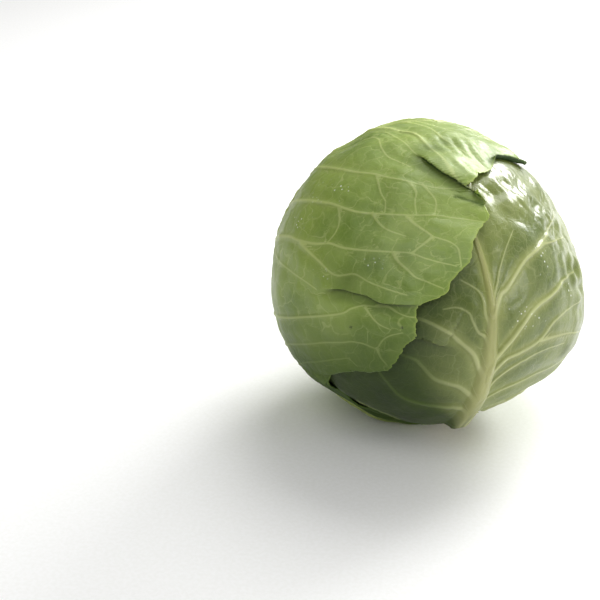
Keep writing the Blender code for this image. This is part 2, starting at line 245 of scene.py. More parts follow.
# %% [markdown]
# ## Places on the head
#
# Everything on the head is placed by two angles, in degrees: how far up from the cut stem over the side
# of the head, and how far round from its front, growing to the right. The head's axis leans back, so the
# angles are turned into directions by three unit vectors: the axis, the front and the side. Plain x, y
# and z would do as well, but on a leaning ball nobody could read them.

# %% Axes and angles
STEM_TILT, STEM_TURN = 21.0, 32.0


def unit(vector):
    return vector / np.linalg.norm(vector)


tilt, turn = math.radians(STEM_TILT), math.radians(STEM_TURN)
AXIS = -np.array([math.sin(tilt) * math.sin(turn), -math.sin(tilt) * math.cos(turn), -math.cos(tilt)])
FRONT = unit(viewer - viewer.dot(AXIS) * AXIS)
SIDE = np.cross(AXIS, FRONT)
DOWN = np.array([0.0, 0.0, -1.0])


def way_to(up, around):
    """Unit vectors from the head's centre to these places."""
    up, around = np.radians(np.asarray(up, float)), np.radians(np.asarray(around, float))
    level = np.cos(around)[..., None] * FRONT + np.sin(around)[..., None] * SIDE
    return np.sin(up)[..., None] * level - np.cos(up)[..., None] * AXIS


def smooth_step(low, high, value):
    share = np.clip((value - low) / (high - low), 0.0, 1.0)
    return share * share * (3.0 - 2.0 * share)


def off_rest(ways):
    """0 on the flat spot that the head rests on, 1 away from it."""
    away = np.degrees(np.arccos(np.clip(ways @ DOWN, -1.0, 1.0)))
    return smooth_step(13.0, 24.0, away)


print("the head leans back", STEM_TILT, "degrees")

# %% [markdown]
# ## A flat chart for each leaf
#
# Veins and margins are easier to draw on a flat map than on a ball. Each leaf gets a map round its own
# middle that keeps distances from that middle true. `flat` goes from the ball to the map, `wrap` goes
# back. A UV unwrap would also give a flat map, but only after the mesh exists, and here the map comes
# first.

# %% Charts
CHART_RADIUS = 0.0850


class Chart:
    """A map of the head round one place. North is up the head and east is to the right."""

    def __init__(self, up, around):
        self.middle = way_to(up, around)
        self.north = unit(AXIS - AXIS.dot(self.middle) * self.middle)
        self.east = np.cross(self.north, self.middle)

    def flat(self, ways):
        angle = np.arccos(np.clip(ways @ self.middle, -1.0, 1.0))
        stretch = CHART_RADIUS * angle / np.maximum(np.sin(angle), 1e-9)
        return np.stack([ways @ self.east, ways @ self.north], -1) * stretch[..., None]

    def wrap(self, points):
        distance = np.maximum(np.linalg.norm(points, axis=-1, keepdims=True), 1e-12)
        angle = distance / CHART_RADIUS
        level = (points[..., :1] * self.east + points[..., 1:] * self.north) / distance
        return np.cos(angle) * self.middle + np.sin(angle) * level


print("one degree on the head is", round(math.radians(CHART_RADIUS) * 1000, 2), "mm")

# %% [markdown]
# ## A smooth curve through chosen places
#
# Ribs, veins and margins are all drawn through a few chosen places. A Bezier curve would need handles
# beside each of them. This curve needs none: it runs through every place it is given, and it can be
# read at any position along it.

# %% Smooth curves
def curve_through(points, at):
    """A smooth curve through the points, read at these positions counted in points."""
    last = len(points) - 1
    at = np.clip(at, 0.0, last)
    start = np.minimum(at.astype(int), last - 1)
    share = (at - start)[..., None]
    a, b = points[np.maximum(start - 1, 0)], points[start]
    c, d = points[start + 1], points[np.minimum(start + 2, last)]
    return 0.5 * (
        2.0 * b
        + (c - a) * share
        + (2.0 * a - 5.0 * b + 4.0 * c - d) * share**2
        + (3.0 * b - a - 3.0 * c + d) * share**3
    )


bend = curve_through(np.array([[0.0, 0.0], [1.0, 0.0], [1.0, 1.0]]), np.array([0.5]))[0]
print("before a square corner the curve swings out by", -bend[1], "of a side")

# %% [markdown]
# ## The plan of a leaf
#
# A leaf's plan is its midrib and a ladder of rows that run from the midrib out to both edges, as the
# side veins of a cabbage leaf do. The outline could be drawn alone and filled with an even grid, but
# then the mesh would run across the veins instead of along them.

# %% Leaf plans
BASE = 11.5
ROW_BEND = 0.35


class Leaf:
    """rib: the midrib's places from stem to tip. rows: (how far up the midrib, place on the right edge,
    place on the left edge). sweep bends the rows towards the tip. edge refines the right edge, as
    (position counted in rows, how far up, how far round)."""

    def __init__(self, name, middle, rib, rows, sweep=0.16, edge=None):
        self.name, self.sweep = name, sweep
        self.chart = Chart(*middle)
        self.rib = self.on_chart(rib)
        self.ups = np.array([row[0] for row in rows], float)
        self.starts = np.interp(self.ups, [up for up, _ in rib], np.arange(len(rib)))
        self.last_row = len(rows) - 1
        right_edge, left_edge = [self.on_chart([row[side] for row in rows]) for side in (1, 2)]
        self.edges = {1: right_edge, -1: left_edge}
        self.marks = np.array([mark for mark, _, _ in edge]) if edge else None
        self.fine_edge = self.on_chart([mark[1:] for mark in edge]) if edge else None

    def on_chart(self, places):
        up, around = np.array(places, float).T
        return self.chart.flat(way_to(up, around))

    def margin_detail(self, side, row):
        """How far the right margin's fine marks lie off the plan's smooth edge."""
        if side < 0 or self.marks is None:
            return 0.0
        fine = curve_through(self.fine_edge, np.interp(row, self.marks, np.arange(len(self.marks))))
        return fine - curve_through(self.edges[side], row)

    def row_points(self, side, row, across, torn=0.0):
        """Chart points on one side, row counted in rows from the base, across from rib 0 to edge 1."""
        on_rib = np.interp(row, np.arange(len(self.starts)), self.starts)
        root = curve_through(self.rib, on_rib)
        ahead = curve_through(self.rib, on_rib + 0.05) - curve_through(self.rib, on_rib - 0.05)
        ahead = ahead / np.linalg.norm(ahead, axis=-1, keepdims=True)
        run = curve_through(self.edges[side], row) - root
        length = np.linalg.norm(run, axis=-1, keepdims=True)
        bend = root + ROW_BEND * run + self.sweep * length * ahead
        t = across[..., None]
        out = 1.0 + (torn * across**4)[..., None] / np.maximum(length, 1e-9)
        smooth = (1 - t) ** 2 * root + 2 * t * (1 - t) * bend + t**2 * (root + run * out)
        return smooth + t**6 * self.margin_detail(side, row)


print("every leaf starts", BASE, "degrees from the middle of the stem")

# %% [markdown]
# ## Four even leaves
#
# Four of the six wrapper leaves lie at the sides and the back. A real head turns each new leaf about
# the stem by a steady angle, so the leaves look much alike: a base that clasps the stem, then a blade
# that stays broad up to its tip. They share one plan here, turned, stretched and cut to length. Drawing
# each by hand would take four times as long, for leaves that only show from the sides and the back.

# %% The four even leaves' plans
EVEN_PLAN = [
    # degrees up the rib and up the edge, share of the half width
    (11.5, 11.5, 0.36), (16, 16.5, 0.34), (20, 19, 0.56), (25, 29, 0.80), (33, 44, 0.92),
    (45, 62, 1.00), (58, 81, 1.00), (72, 99, 0.95), (88, 115, 0.84), (104, 127, 0.64),
    (119, 133, 0.38), (132, 134, 0.12),
]
RIB_STOPS = (0.0, 0.15, 0.35, 0.6, 0.8, 1.0)
MIDDLE_UP = 75


def even_leaf(name, turn, tip, half_width):
    """A leaf whose two sides match, round the head by turn and up to tip, in degrees."""
    full = EVEN_PLAN[-1][0]
    rows = []
    for up, edge_up, width in EVEN_PLAN:
        edge_up, reach = max(BASE, edge_up * tip / full), width * half_width
        up = BASE + (up - BASE) * (tip - BASE) / (full - BASE)
        rows.append((up, (edge_up, turn + reach), (edge_up, turn - reach)))
    rib = [(BASE + share * (tip - BASE), turn) for share in RIB_STOPS]
    return Leaf(name, (MIDDLE_UP, turn), rib, rows)


under = even_leaf("leaf_under", -151, 116, 76)
right = even_leaf("leaf_right", 72, 130, 80)
left = even_leaf("leaf_left", -65, 118, 78)
back = even_leaf("leaf_back", 156, 150, 84)
print("planned four even leaves with", len(EVEN_PLAN), "rows each")

# %% [markdown]
# ## The plan of the pale front leaf
#
# This leaf fills the right half of the picture. Its midrib climbs a little to the right of the front,
# and its rows bend up towards the tip, because its side veins do. Its edges are hidden on the left and
# go round the head on the right, so a few places are enough for them. The even leaves' plan could be
# stretched to fit, but its midrib is straight and this one sways.

# %% The front leaf's plan
front = Leaf(
    "leaf_front",
    (80, 20),
    rib=[(11.5, 8), (30, 11), (50, 16), (68, 18.5), (82, 20), (100, 19.5), (125, 17), (154, 14)],
    rows=[
        (11.5, (11.5, 42), (11.5, -26)), (17, (18, 34), (16, -20)), (23, (27, 26), (20, -20)),
        (28.5, (35, 29), (22.5, -26)), (34.5, (42, 47), (30, -38)), (41, (49, 74), (46, -54)),
        (46.6, (62, 91), (62, -62)), (53, (78, 98), (76, -66)), (59.5, (94, 101), (90, -65)),
        (72.5, (111, 98), (108, -58)), (86.5, (127, 92), (125, -48)),
        (101, (140, 78), (140, -34)), (118, (149, 58), (149, -18)), (137, (154, 38), (154, -2)),
        (154, (156, 20), (156, 8)),
    ],
)
print("the front leaf's midrib is", front.ups[-1] - BASE, "degrees long")

# %% [markdown]
# ## The plan of the green cover leaf
#
# The outermost leaf comes up on the left, wraps over the top and ends in a torn margin across the
# front. That margin is the first thing the eye follows, so its nicks are placed one by one, on top of
# the smooth edge that the rows give. Random teeth alone would look torn too, but not like this head.

# %% The cover leaf's plan
# The torn margin: position counted in rows, degrees up, degrees round
COVER_EDGE = [
    (0, 11.5, -66), (1, 18, -72), (2, 24, -76), (3, 38, -66), (4, 57, -57), (5, 67.2, -41.5),
    (5.3, 67.9, -37), (5.6, 68.8, -31.4), (5.95, 69.7, -23.8), (6.3, 68.7, -18.8), (6.55, 70.8, -15.6),
    (6.8, 73.4, -13.3), (7.05, 75.1, -11.2), (7.5, 78.4, -8.0), (7.95, 81.5, -6.0), (8.3, 84.1, -5.2),
    (8.5, 86.2, -5.4), (8.7, 88.6, -4.0), (8.9, 89.7, -1.8), (9.1, 90.7, 2.1), (9.3, 92.1, 5.3),
    (9.57, 95, 8), (9.84, 98.1, 10.7), (10.04, 100, 13.1), (10.24, 102.5, 14.9), (10.44, 105.4, 16.2),
    (10.7, 107.7, 18), (11, 110.9, 22.9), (11.3, 112.8, 24), (11.75, 116.6, 24.7), (12, 118.4, 26.2),
    (12.25, 121.4, 25.8), (12.4, 122.4, 22.5), (12.6, 125, 21.5), (12.85, 127.8, 25.8),
    (13.1, 129.9, 29.5), (13.4, 131, 34.2), (13.7, 132.8, 39.5), (14.05, 134.8, 46.9),
    (14.4, 137.5, 57), (14.7, 136, 68), (15.1, 132, 77), (15.5, 130, 83), (16, 133, 86), (17, 140, 92),
    (18, 146, 98),
]

cover = Leaf(
    "leaf_cover",
    (108, -75),
    rib=[
        (11.5, -100), (30, -101), (55, -102), (80, -99), (105, -95), (130, -90), (150, -85),
        (170, -80), (190, -77), (211, -75),
    ],
    rows=[
        (11.5, (11.5, -66), (11.5, -152)), (19, (18, -72), (17, -176)),
        (27, (24, -76), (24, -196)), (37, (38, -66), (36, -194)), (49, (55, -57), (54, -186)),
        (61, (63, -42), (70, -177)), (72, (64, -25), (84, -171)), (82, (71, -12), (96, -169)),
        (91, (81, -5.5), (107, -168)), (99, (88, 2), (116, -170)), (107, (97, 11), (124, -173)),
        (115, (107, 21.5), (131, -179)), (123, (116, 24), (137, -187)),
        (131, (127, 28), (142, -198)), (140, (135, 50), (146, -210)),
        (152, (136, 66), (149, -221)), (168, (133, 82), (150, -232)),
        (189, (139, 91), (150, -242)), (211, (146, 98), (148, -250)),
    ],
    sweep=-0.02,
    edge=COVER_EDGE,
)
print("the cover leaf's margin has", len(COVER_EDGE), "marks on", cover.last_row + 1, "rows")

# %% [markdown]
# ## A fine grid over each leaf
#
# The mesh of a leaf follows its plan: grid rows along the side veins, grid columns along the midrib.
# Cells are smallest where the eye goes first, on the two front leaves and at the torn margins, and
# larger on the sides that stay in the shade. An even remesh would spend the same faces everywhere. The
# small tears of the margins are sums of waves whose lengths don't match, so that they never repeat.

# %% Grids and torn edges
TEARS = 0.0010


def spread(*stretches):
    """Values from stretch to stretch, each given as (start, end, steps)."""
    parts = [np.linspace(start, end, steps, endpoint=False) for start, end, steps in stretches]
    return np.append(np.concatenate(parts), stretches[-1][1])


def tears(row, last_row, seed):
    """How far the margin's teeth and tears stand out or in, in metres."""
    slow = np.sin(5.1 * row) + np.sin(8.3 * row + 1.0)
    teeth = np.abs(np.sin(17.0 * row + 2.0 * np.sin(5.0 * row + seed))) - 0.6
    nicks = np.sin(41.0 * row + seed) + np.sin(67.0 * row + 2.0 * seed)
    out = TEARS * (0.6 * slow + 0.7 * teeth + 0.12 * nicks)
    return out * smooth_step(0.0, 2.0, row) * smooth_step(0.0, 2.0, last_row - row)


def leaf_grid(leaf, ups, to_right, to_left, seed):
    """Chart points of the grid, with each column's share of the way out: left is negative."""
    rows = np.interp(ups, leaf.ups, np.arange(leaf.last_row + 1))
    halves = []
    for side, shares in ((1, to_right), (-1, to_left)):
        torn = tears(rows, leaf.last_row, seed + side)[:, None]
        grid = leaf.row_points(side, np.repeat(rows[:, None], len(shares), 1), shares[None, :], torn)
        halves.append(grid)
    points = np.concatenate([halves[1][:, :0:-1], halves[0]], axis=1)
    return points, rows, np.concatenate([-to_left[:0:-1], to_right])


def cell_sizes(points):
    """Area of each grid cell in square metres, negative where the grid folds over itself."""
    up, out = points[1:, :-1] - points[:-1, :-1], points[:-1, 1:] - points[:-1, :-1]
    return out[..., 0] * up[..., 1] - out[..., 1] * up[..., 0]


even_tears = tears(np.linspace(0, 12, 1200), 12, 1)
print("small tears reach", round(np.abs(even_tears).max() * 1000, 1), "mm in or out")

# %% [markdown]
# ## How fine each grid is
#
# A stretch of rows or columns is given by its two ends and its number of steps. Most steps go to the
# part of the cover leaf that faces the camera and to its last few millimetres, where the tears are.
# Blender's multiresolution tools refine a mesh by halving it everywhere, which would cost far more.

# %% How fine each grid is
GRIDS = {
    # rows up the rib in degrees, then columns to the right edge and to the left edge
    "leaf_cover": (
        spread((11.5, 52, 36), (52, 150, 224), (150, 211, 46)),
        spread((0, 0.06, 8), (0.06, 0.3, 32), (0.3, 0.965, 132), (0.965, 1, 16)),
        spread((0, 0.08, 8), (0.08, 0.97, 50), (0.97, 1, 5)),
    ),
    "leaf_front": (
        spread((11.5, 30, 34), (30, 118, 190), (118, 154, 32)),
        spread((0, 0.12, 28), (0.12, 0.965, 122), (0.965, 1, 10)),
        spread((0, 0.12, 28), (0.12, 0.965, 98), (0.965, 1, 8)),
    ),
}
EVEN_COLUMNS = spread((0, 0.1, 16), (0.1, 0.965, 70), (0.965, 1, 8))
for name, (ups, to_right, to_left) in GRIDS.items():
    print(name, "gets", len(ups), "rows of", len(to_right) + len(to_left) - 1, "points")

# %% [markdown]
# ## Finding a leaf's sheet
#
# The solid of each leaf says where its inner face lies. A ray from the head's centre finds that face
# in every direction, and a few rounds of averaging melt the solid's flat facets into a smooth sheet.
# A shrinkwrap modifier could do the search, but it would keep the facets.

# %% Finding a leaf's sheet
LONGEST = 0.2
centre = Vector(HEAD_CENTRE)
graph = bpy.context.evaluated_depsgraph_get()


def inner_face(name, ways):
    """How far out the solid's inner face lies in each direction."""
    solid = BVHTree.FromObject(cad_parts[name], graph)
    radius = np.full(ways.shape[:2], np.nan)
    for place in np.ndindex(radius.shape):
        hit = solid.ray_cast(centre, Vector(ways[place]), LONGEST)
        if hit[0] is not None:
            radius[place] = hit[3]
    return radius


def filled(field):
    """Gaps in the grid are filled from the nearest cells that have a value."""
    field = field.copy()
    columns = np.arange(field.shape[1])
    known = [row for row in range(len(field)) if np.isfinite(field[row]).sum() > 3]
    for row in known:
        good = np.isfinite(field[row])
        field[row] = np.interp(columns, columns[good], field[row][good])
    for row in range(len(field)):
        if row not in known:
            field[row] = field[min(known, key=lambda other: abs(other - row))]
    return field


def relaxed(field, rounds):
    """Each cell moves towards the mean of its four neighbours."""
    for _ in range(rounds):
        wide = np.pad(field, 1, mode="edge")
        beside = wide[:-2, 1:-1] + wide[2:, 1:-1] + wide[1:-1, :-2] + wide[1:-1, 2:]
        field = field / 2 + beside / 8
    return field


nearest_face = inner_face("leaf_front", FRONT[None, None])
print("the front leaf's solid begins", round(nearest_face.item() * 1000, 1), "mm from the head's centre")

# %% [markdown]
# ## What lies below a leaf
#
# A leaf lies on those it wraps, so it has to know how far out they already reach. The sheets laid so
# far are joined into one net of faces, and a ray that comes in from outside stops at the first of them.
# Each leaf could be asked in turn, but one search tree for all of them is faster and shorter.

# %% What lies below a leaf
def quads(index):
    """The grid's faces, from the numbers of its points."""
    corners = [index[:-1, :-1], index[:-1, 1:], index[1:, 1:], index[1:, :-1]]
    return np.stack(corners, -1).reshape(-1, 4).tolist()


def reach_below(laid, ways):
    """How far out the sheets already laid reach in each direction."""
    corners, faces = [], []
    for points in laid:
        rows, columns = points.shape[:2]
        index = np.arange(rows * columns).reshape(rows, columns) + len(corners)
        faces += quads(index)
        corners += points.reshape(-1, 3).tolist()
    reach = np.zeros(ways.shape[:2])
    if corners:
        tree = BVHTree.FromPolygons(corners, faces)
        for place in np.ndindex(reach.shape):
            way = Vector(ways[place])
            hit = tree.ray_cast(centre + way * LONGEST, -way, LONGEST)
            if hit[0] is not None:
                reach[place] = LONGEST - hit[3]
    return reach


print("before the first leaf is laid, the reach is", reach_below([], FRONT[None, None]).item(), "m")

# %% [markdown]
# ## Resting on the leaves below
#
# Where the leaves below would poke through a new one, its sheet is lifted, smoothly and only outwards,
# and where it should cling to them it is drawn in again. A cloth simulation would settle the leaves by
# itself, but it takes minutes and moves the margins that were drawn with care.

# %% Resting on the leaves below
LEAF_GAP = 0.00035
# How far a clinging leaf is drawn in at most, and the reach below which nothing lies under it
LOOSEST = 0.007
BARE = 0.02
# A lifted place takes this many cells round it along, and its slope is averaged this often
LIFT_MARGIN, LIFT_ROUNDS = 8, 24


def lifted(radius, needed):
    """The sheet raised to clear what is needed, well past each raised place and then down a slope."""
    least = np.maximum(needed - radius, 0.0)
    lift = least
    for _ in range(LIFT_MARGIN):
        wide = np.pad(lift, 1, mode="edge")
        lift = np.max([wide[:-2, 1:-1], wide[2:, 1:-1], wide[1:-1, :-2], wide[1:-1, 2:], lift], axis=0)
    return radius + np.maximum(relaxed(lift, LIFT_ROUNDS), least)


def lay(leaf, laid, ups, to_right, to_left, seed, rounds, hug):
    """The leaf's grid, directions, rows, shares across and smooth radius, clear of the sheets laid.
    hug says how closely each place follows what is below it, from 0 to 1."""
    points, rows, shares = leaf_grid(leaf, ups, to_right, to_left, seed)
    ways = leaf.chart.wrap(points)
    radius = relaxed(filled(inner_face(leaf.name, ways)), rounds)
    needed = reach_below(laid, ways) + LEAF_GAP
    if hug:
        stand_off = np.where(needed > BARE, np.clip(radius - needed, 0.0, LOOSEST), 0.0)
        stand_off = relaxed(stand_off, 10)
        radius = radius - hug(rows[:, None], shares[None, :]) * stand_off
    lift = round(max((needed - radius).max(), 0.0) * 1000, 1)
    radius = lifted(radius, needed)
    smallest = round(cell_sizes(points).min() * 1e6, 2)
    print(leaf.name, points.shape[:2], "smallest cell", smallest, "mm2, lifted", lift, "mm")
    return points, ways, rows, shares, radius


print("leaves lie", LEAF_GAP * 1000, "mm apart where they touch")

# %% [markdown]
# ## The midrib
#
# On the outside of a cabbage leaf the midrib stands out as a thick cord: as wide as a thumb at the
# stem, and nearly flat at the tip. Its width and height are read from a short table by the share of
# the way up. A bevelled curve would give a separate tube, and here the rib has to grow out of the
# blade, so only its numbers are kept and the blade is raised by them later.

# %% The midrib
# Shares of the way up, then half widths and heights in mm
RIB_SHARES = (0.0, 0.08, 0.17, 0.27, 0.40, 0.50, 0.60, 0.80, 1.0)
RIB_WIDTHS = (12.0, 9.6, 7.8, 6.6, 5.0, 3.6, 2.6, 1.5, 0.9)
RIB_HEIGHTS = (5.4, 5.0, 4.4, 3.6, 2.6, 1.9, 1.3, 0.6, 0.3)
RIB_POINTS = 600


def rib_line(leaf, size):
    """The midrib: points, half widths and heights."""
    share = np.linspace(0, 1, RIB_POINTS)
    points = curve_through(leaf.rib, np.linspace(0, len(leaf.rib) - 1, RIB_POINTS))
    width = np.interp(share, RIB_SHARES, RIB_WIDTHS) * size / 1000
    return points, width, np.interp(share, RIB_SHARES, RIB_HEIGHTS) * size / 1000


print("the largest midrib narrows from", 2 * RIB_WIDTHS[0], "to", 2 * RIB_WIDTHS[-1], "mm")

# %% [markdown]
# ## Drawing a side vein
#
# Side veins leave the midrib in webbed forks and thin out towards the margin. Each one is a curve
# through a few places, with a half width at its root and at its tip, and a height. It widens where it
# leaves the midrib, which makes the web of the fork. Grease pencil strokes could be traced instead, but
# numbers are easier to correct by a millimetre.

# %% Drawing a side vein
VEIN_STEP = 0.0004
FORK_FLARE, FORK_LENGTH = 0.9, 0.008


def drawn_line(leaf, places):
    """Evenly spaced chart points along a smooth curve through these places."""
    points = leaf.on_chart(places)
    fine = curve_through(points, np.linspace(0, len(points) - 1, 60 * len(points)))
    along = np.append(0.0, np.cumsum(np.linalg.norm(np.diff(fine, axis=0), axis=1)))
    at = np.arange(0.0, along[-1], VEIN_STEP)
    return np.stack([np.interp(at, along, fine[:, axis]) for axis in (0, 1)], -1), at


def hand_veins(leaf, veins):
    """Each drawn vein, flared where it leaves the midrib, as the web of a fork."""
    lines = []
    for places, root, tip, height in veins:
        points, at = drawn_line(leaf, places)
        share = at / at[-1]
        flare = 1.0 + FORK_FLARE * np.exp(-at / FORK_LENGTH)
        width = (root + (tip - root) * share) * flare / 1000
        lines.append((points, width, height * (1 - 0.75 * share) * (1 - share**6) / 1000))
    return lines


_, along = drawn_line(front, [(81, 20), (110, 84)])
print("a vein from the fork to the edge is", round(along[-1] * 1000), "mm long")

# %% [markdown]
# ## The front leaf's veins
#
# The fork of the front leaf is what one knows this head by, so its large veins are followed place by
# place. A rule could grow them, but never into this fork.

# %% The front leaf's veins
# Each vein: its places, then half its width at the root and at the tip and its height, in mm
FRONT_VEINS = [
    # to the right of the midrib, from the top down
    ([(81, 20), (86.7, 23.4), (88.4, 26.2), (92.5, 31), (96.6, 37.3), (99.7, 47.1), (105.5, 63.2),
      (110, 84)], 2.2, 1.0, 1.3),
    ([(99.3, 46.7), (99.9, 53.7), (98.7, 79.6)], 1.1, 0.8, 0.7),
    ([(82, 20), (87, 21.4), (91.1, 23.2), (95.2, 25), (99.9, 28.2), (103.7, 31.5), (107.1, 35.3)],
      1.2, 0.8, 0.5),
    ([(56, 17.2), (61, 19), (64.3, 20.6), (70.3, 27.2), (74.4, 31.2), (78.9, 37.6), (81.4, 47.2),
      (84.5, 58.3), (85.8, 73.5)], 2.6, 1.3, 1.9),
    ([(50, 16), (55, 18), (62.4, 24.7), (64.1, 31.8), (66.4, 41.4), (71.1, 47.9), (73.1, 56),
      (74.9, 71.4)], 2.2, 1.0, 1.5),
    ([(66.4, 41.4), (65.8, 52), (63.9, 66.6), (61.7, 83.6)], 1.5, 1.0, 1.1),
    ([(43, 14), (51.8, 21), (55.2, 24.7), (58.9, 30.9), (60.7, 39.6), (61.5, 49.9), (60.9, 60.4)],
      1.7, 0.9, 1.1),
    ([(36, 12.5), (43.6, 20.9), (47, 28.8), (48.6, 35.3), (50.2, 45.7), (50.8, 57), (53.4, 76.9)],
      1.5, 0.9, 1.0),
    # to the left of it
    ([(70, 18.8), (77.9, 18.4), (81.8, 17.4), (86.3, 17.2), (89.5, 16.1), (91.8, 13.8), (93.7, 11.4)],
      2.0, 0.9, 0.5),
    ([(64, 18.3), (72.6, 17.1), (75.5, 14.5), (79.9, 12.7), (83.1, 11.6), (85.6, 7.9), (85.9, 4.3)],
      2.0, 0.9, 0.6),
    ([(48, 15.5), (57.6, 15.7), (62.2, 14.1), (67.8, 12.1), (72.5, 8.3), (75.5, 5.9), (78.6, 3.3),
      (84, -4.6), (88, -18)], 3.0, 1.4, 1.3),
    ([(38, 12.5), (46.2, 13), (50.1, 9.9), (54.2, 6), (56.7, 1.6), (60.3, -3.8), (66.6, -7.6),
      (69.8, -10.2), (76, -22)], 3.2, 1.8, 1.1),
    ([(31, 10.5), (38.1, 10), (41.5, 3.9), (42.1, -0.7), (46, -10.9), (51.4, -19.4), (56.5, -22.1),
      (65.6, -24.2)], 3.4, 1.8, 1.2),
]
print(len(FRONT_VEINS), "veins drawn on the front leaf")

# %% [markdown]
# ## The cover leaf's veins
#
# The cover leaf's midrib lies on the hidden left side. What shows is a row of long side veins that run
# across to the torn margin and split on their way. They are drawn in the same manner. A picture of
# veins could be projected on the leaf instead, but it would blur, and it couldn't raise the blade.

# %% The cover leaf's veins
COVER_VEINS = [
    # the highest one below the top, and its branches
    ([(141, -88), (142.6, -70), (141.5, -46.6), (138.7, -30.4), (136.3, -17.6), (133.3, -8.7),
      (130.9, -1.3), (128.9, 4.2), (127, 10.3), (125.5, 17.5)], 1.9, 0.9, 0.9),
    ([(130.8, -2.2), (126.8, 0.1), (123.4, -0.8), (118.5, -0.9)], 1.0, 0.8, 0.25),
    ([(129.4, 3.3), (125.1, 6.1), (121.5, 7.2), (117, 5.6)], 1.0, 0.8, 0.25),
    ([(136.3, -17.6), (132, -16.1), (127.6, -14.3), (124.4, -12.4), (120.3, -12.7)], 1.0, 0.8, 0.25),
    # the next one down
    ([(126, -91), (128.3, -62.5), (127.5, -47.9), (125.8, -37.2), (123.1, -28.6), (121.6, -23.3),
      (120.7, -17.5), (119.5, -10.6), (118.4, -4.3), (117.7, 0.5), (116.4, 7.6), (114.8, 12.6),
      (113.5, 17.1), (111.9, 22)], 2.0, 0.9, 0.9),
    ([(118.4, -4.6), (115.3, -2.2), (112.1, 1.2), (109.6, 3.7), (108.4, 6), (106.6, 9.1), (104.4, 10.9),
      (101.9, 10.9), (99.1, 10.6)], 1.3, 0.8, 0.55),
    ([(109.6, 3.7), (107.9, 0.5), (105.6, -3.8)], 1.1, 0.9, 0.45),
    ([(120.7, -17.5), (117, -14.9), (114.3, -11.8), (111.8, -6.5)], 1.1, 0.8, 0.35),
    ([(124.5, -33), (119.6, -31.4), (115.1, -32.8), (111.9, -36.5)], 1.1, 0.8, 0.3),
    # the third
    ([(111, -94), (114.8, -62.8), (113.2, -51.2), (111.9, -42.2), (111.7, -34.8), (109.9, -29.1),
      (108.7, -23), (107.7, -16.6), (106.6, -10), (105.3, -4.2), (103.2, -0.5), (101, 4.2), (99, 9)],
      2.1, 0.9, 1.0),
    ([(106.5, -10.4), (103.2, -8.8), (100.5, -6.3), (97.6, -3.8), (95.9, -0.6), (93.6, 3.2)],
      1.3, 0.9, 0.6),
    ([(113, -50.5), (109.1, -44), (104.8, -37.2), (101, -31.4), (100.9, -24.4), (98.2, -19.8),
      (96.3, -16.1), (94.1, -11.3), (92.8, -8)], 1.5, 0.9, 0.7),
    ([(112, -94), (110.9, -80), (106.5, -68), (102.6, -54.6), (99.7, -46.8), (97.1, -40.8)],
      1.3, 0.9, 0.6),
    # the lower ones
    ([(84, -98.5), (86.5, -62), (88.2, -34), (89.8, -27.3), (90.5, -22.4), (89.8, -18.6), (88.7, -13.5),
      (86.2, -8.5), (85.5, -5.6)], 1.8, 0.9, 0.9),
    ([(89.9, -22), (86.3, -19.9), (84, -17.7), (82.7, -15.3)], 1.0, 0.8, 0.3),
    ([(70, -100), (76, -66), (78.6, -34.6), (78.8, -29.6), (77.9, -24.8), (76.8, -21.9), (76.4, -20),
      (78.8, -17.6), (80.1, -15.1), (80.9, -11.2)], 1.7, 0.8, 0.8),
    ([(76.4, -20), (73.7, -19.5), (71.4, -18.3)], 1.0, 0.8, 0.4),
    ([(60, -101), (68, -66), (72.4, -35.3), (72.2, -32.7), (70.4, -30.5)], 1.4, 0.8, 0.5),
    # those that run over the top, up to the flap
    ([(166, -82), (168, -45), (164, -8), (159.2, 7.8), (151.1, 11.7), (143.2, 14.6), (136.6, 17),
      (132.1, 18.9), (127.4, 21.4)], 1.7, 1.1, 1.2),
    ([(152, -85), (163, -50), (162, -22), (153.1, -3.9), (147.1, 1.5), (143, 5)], 1.3, 0.9, 0.45),
    ([(146, -87), (155, -55), (158, -30.7), (150.4, -19.3), (145.2, -13.5), (141.2, -5.5), (138.6, -1.2)],
      1.2, 0.9, 0.35),
    ([(176, -79), (178, 0), (163.2, 29.5), (152.9, 29.6), (145.8, 33.7), (139.4, 37), (135.8, 39)],
      1.4, 0.9, 0.7),
    ([(180, -78), (178, 70), (160, 56), (152.1, 51.9), (145, 52.3), (139.8, 53)], 1.2, 0.9, 0.6),
]
print(len(COVER_VEINS), "veins drawn on the cover leaf")

# %% [markdown]
# ## Side veins by rule
#
# Where nothing is known of the real veins, on the sides, the back and round the hidden midribs, they
# follow the plan's own rows, with a slight sway so that no two look copied. Drawing them too would be
# invention at the cost of hours.

# %% Side veins by rule
# Half widths at the root and the tip and the height, in mm
ROW_ROOT, ROW_TIP, ROW_HEIGHT = 1.9, 0.6, 1.1


def row_veins(leaf, first, last, sides):
    """Side veins along the plan's own rows, for the parts that aren't drawn by hand."""
    out = np.linspace(0.0, 0.94, 300)
    lines = []
    for side in sides:
        for row in range(first, last):
            line = leaf.row_points(side, row + 0.2 * np.sin(7.0 * out + 2.3 * row) * out, out)
            width = (ROW_ROOT + (ROW_TIP - ROW_ROOT) * out) * (1 + FORK_FLARE * np.exp(-out / 0.08)) / 1000
            lines.append((line, width, ROW_HEIGHT * (1 - 0.8 * out) * (1 - out**4) / 1000))
    return lines


print("an even leaf gets", len(row_veins(under, 3, under.last_row, (1, -1))), "side veins")

# %% [markdown]
# ## The net of small veins
#
# Between the large veins runs a net of fine ones, which close into uneven meshes about a centimetre
# wide. A Voronoi texture draws such a net, but only in the finish, and here it has to groove the blade
# as well. So its knots are scattered one by one, with a fixed seed, and each point of the leaf asks how
# far it is from the line midway between its two nearest knots. Ripples bend the lines a little.

# %% The net of small veins
NET_SIZE = 0.0095


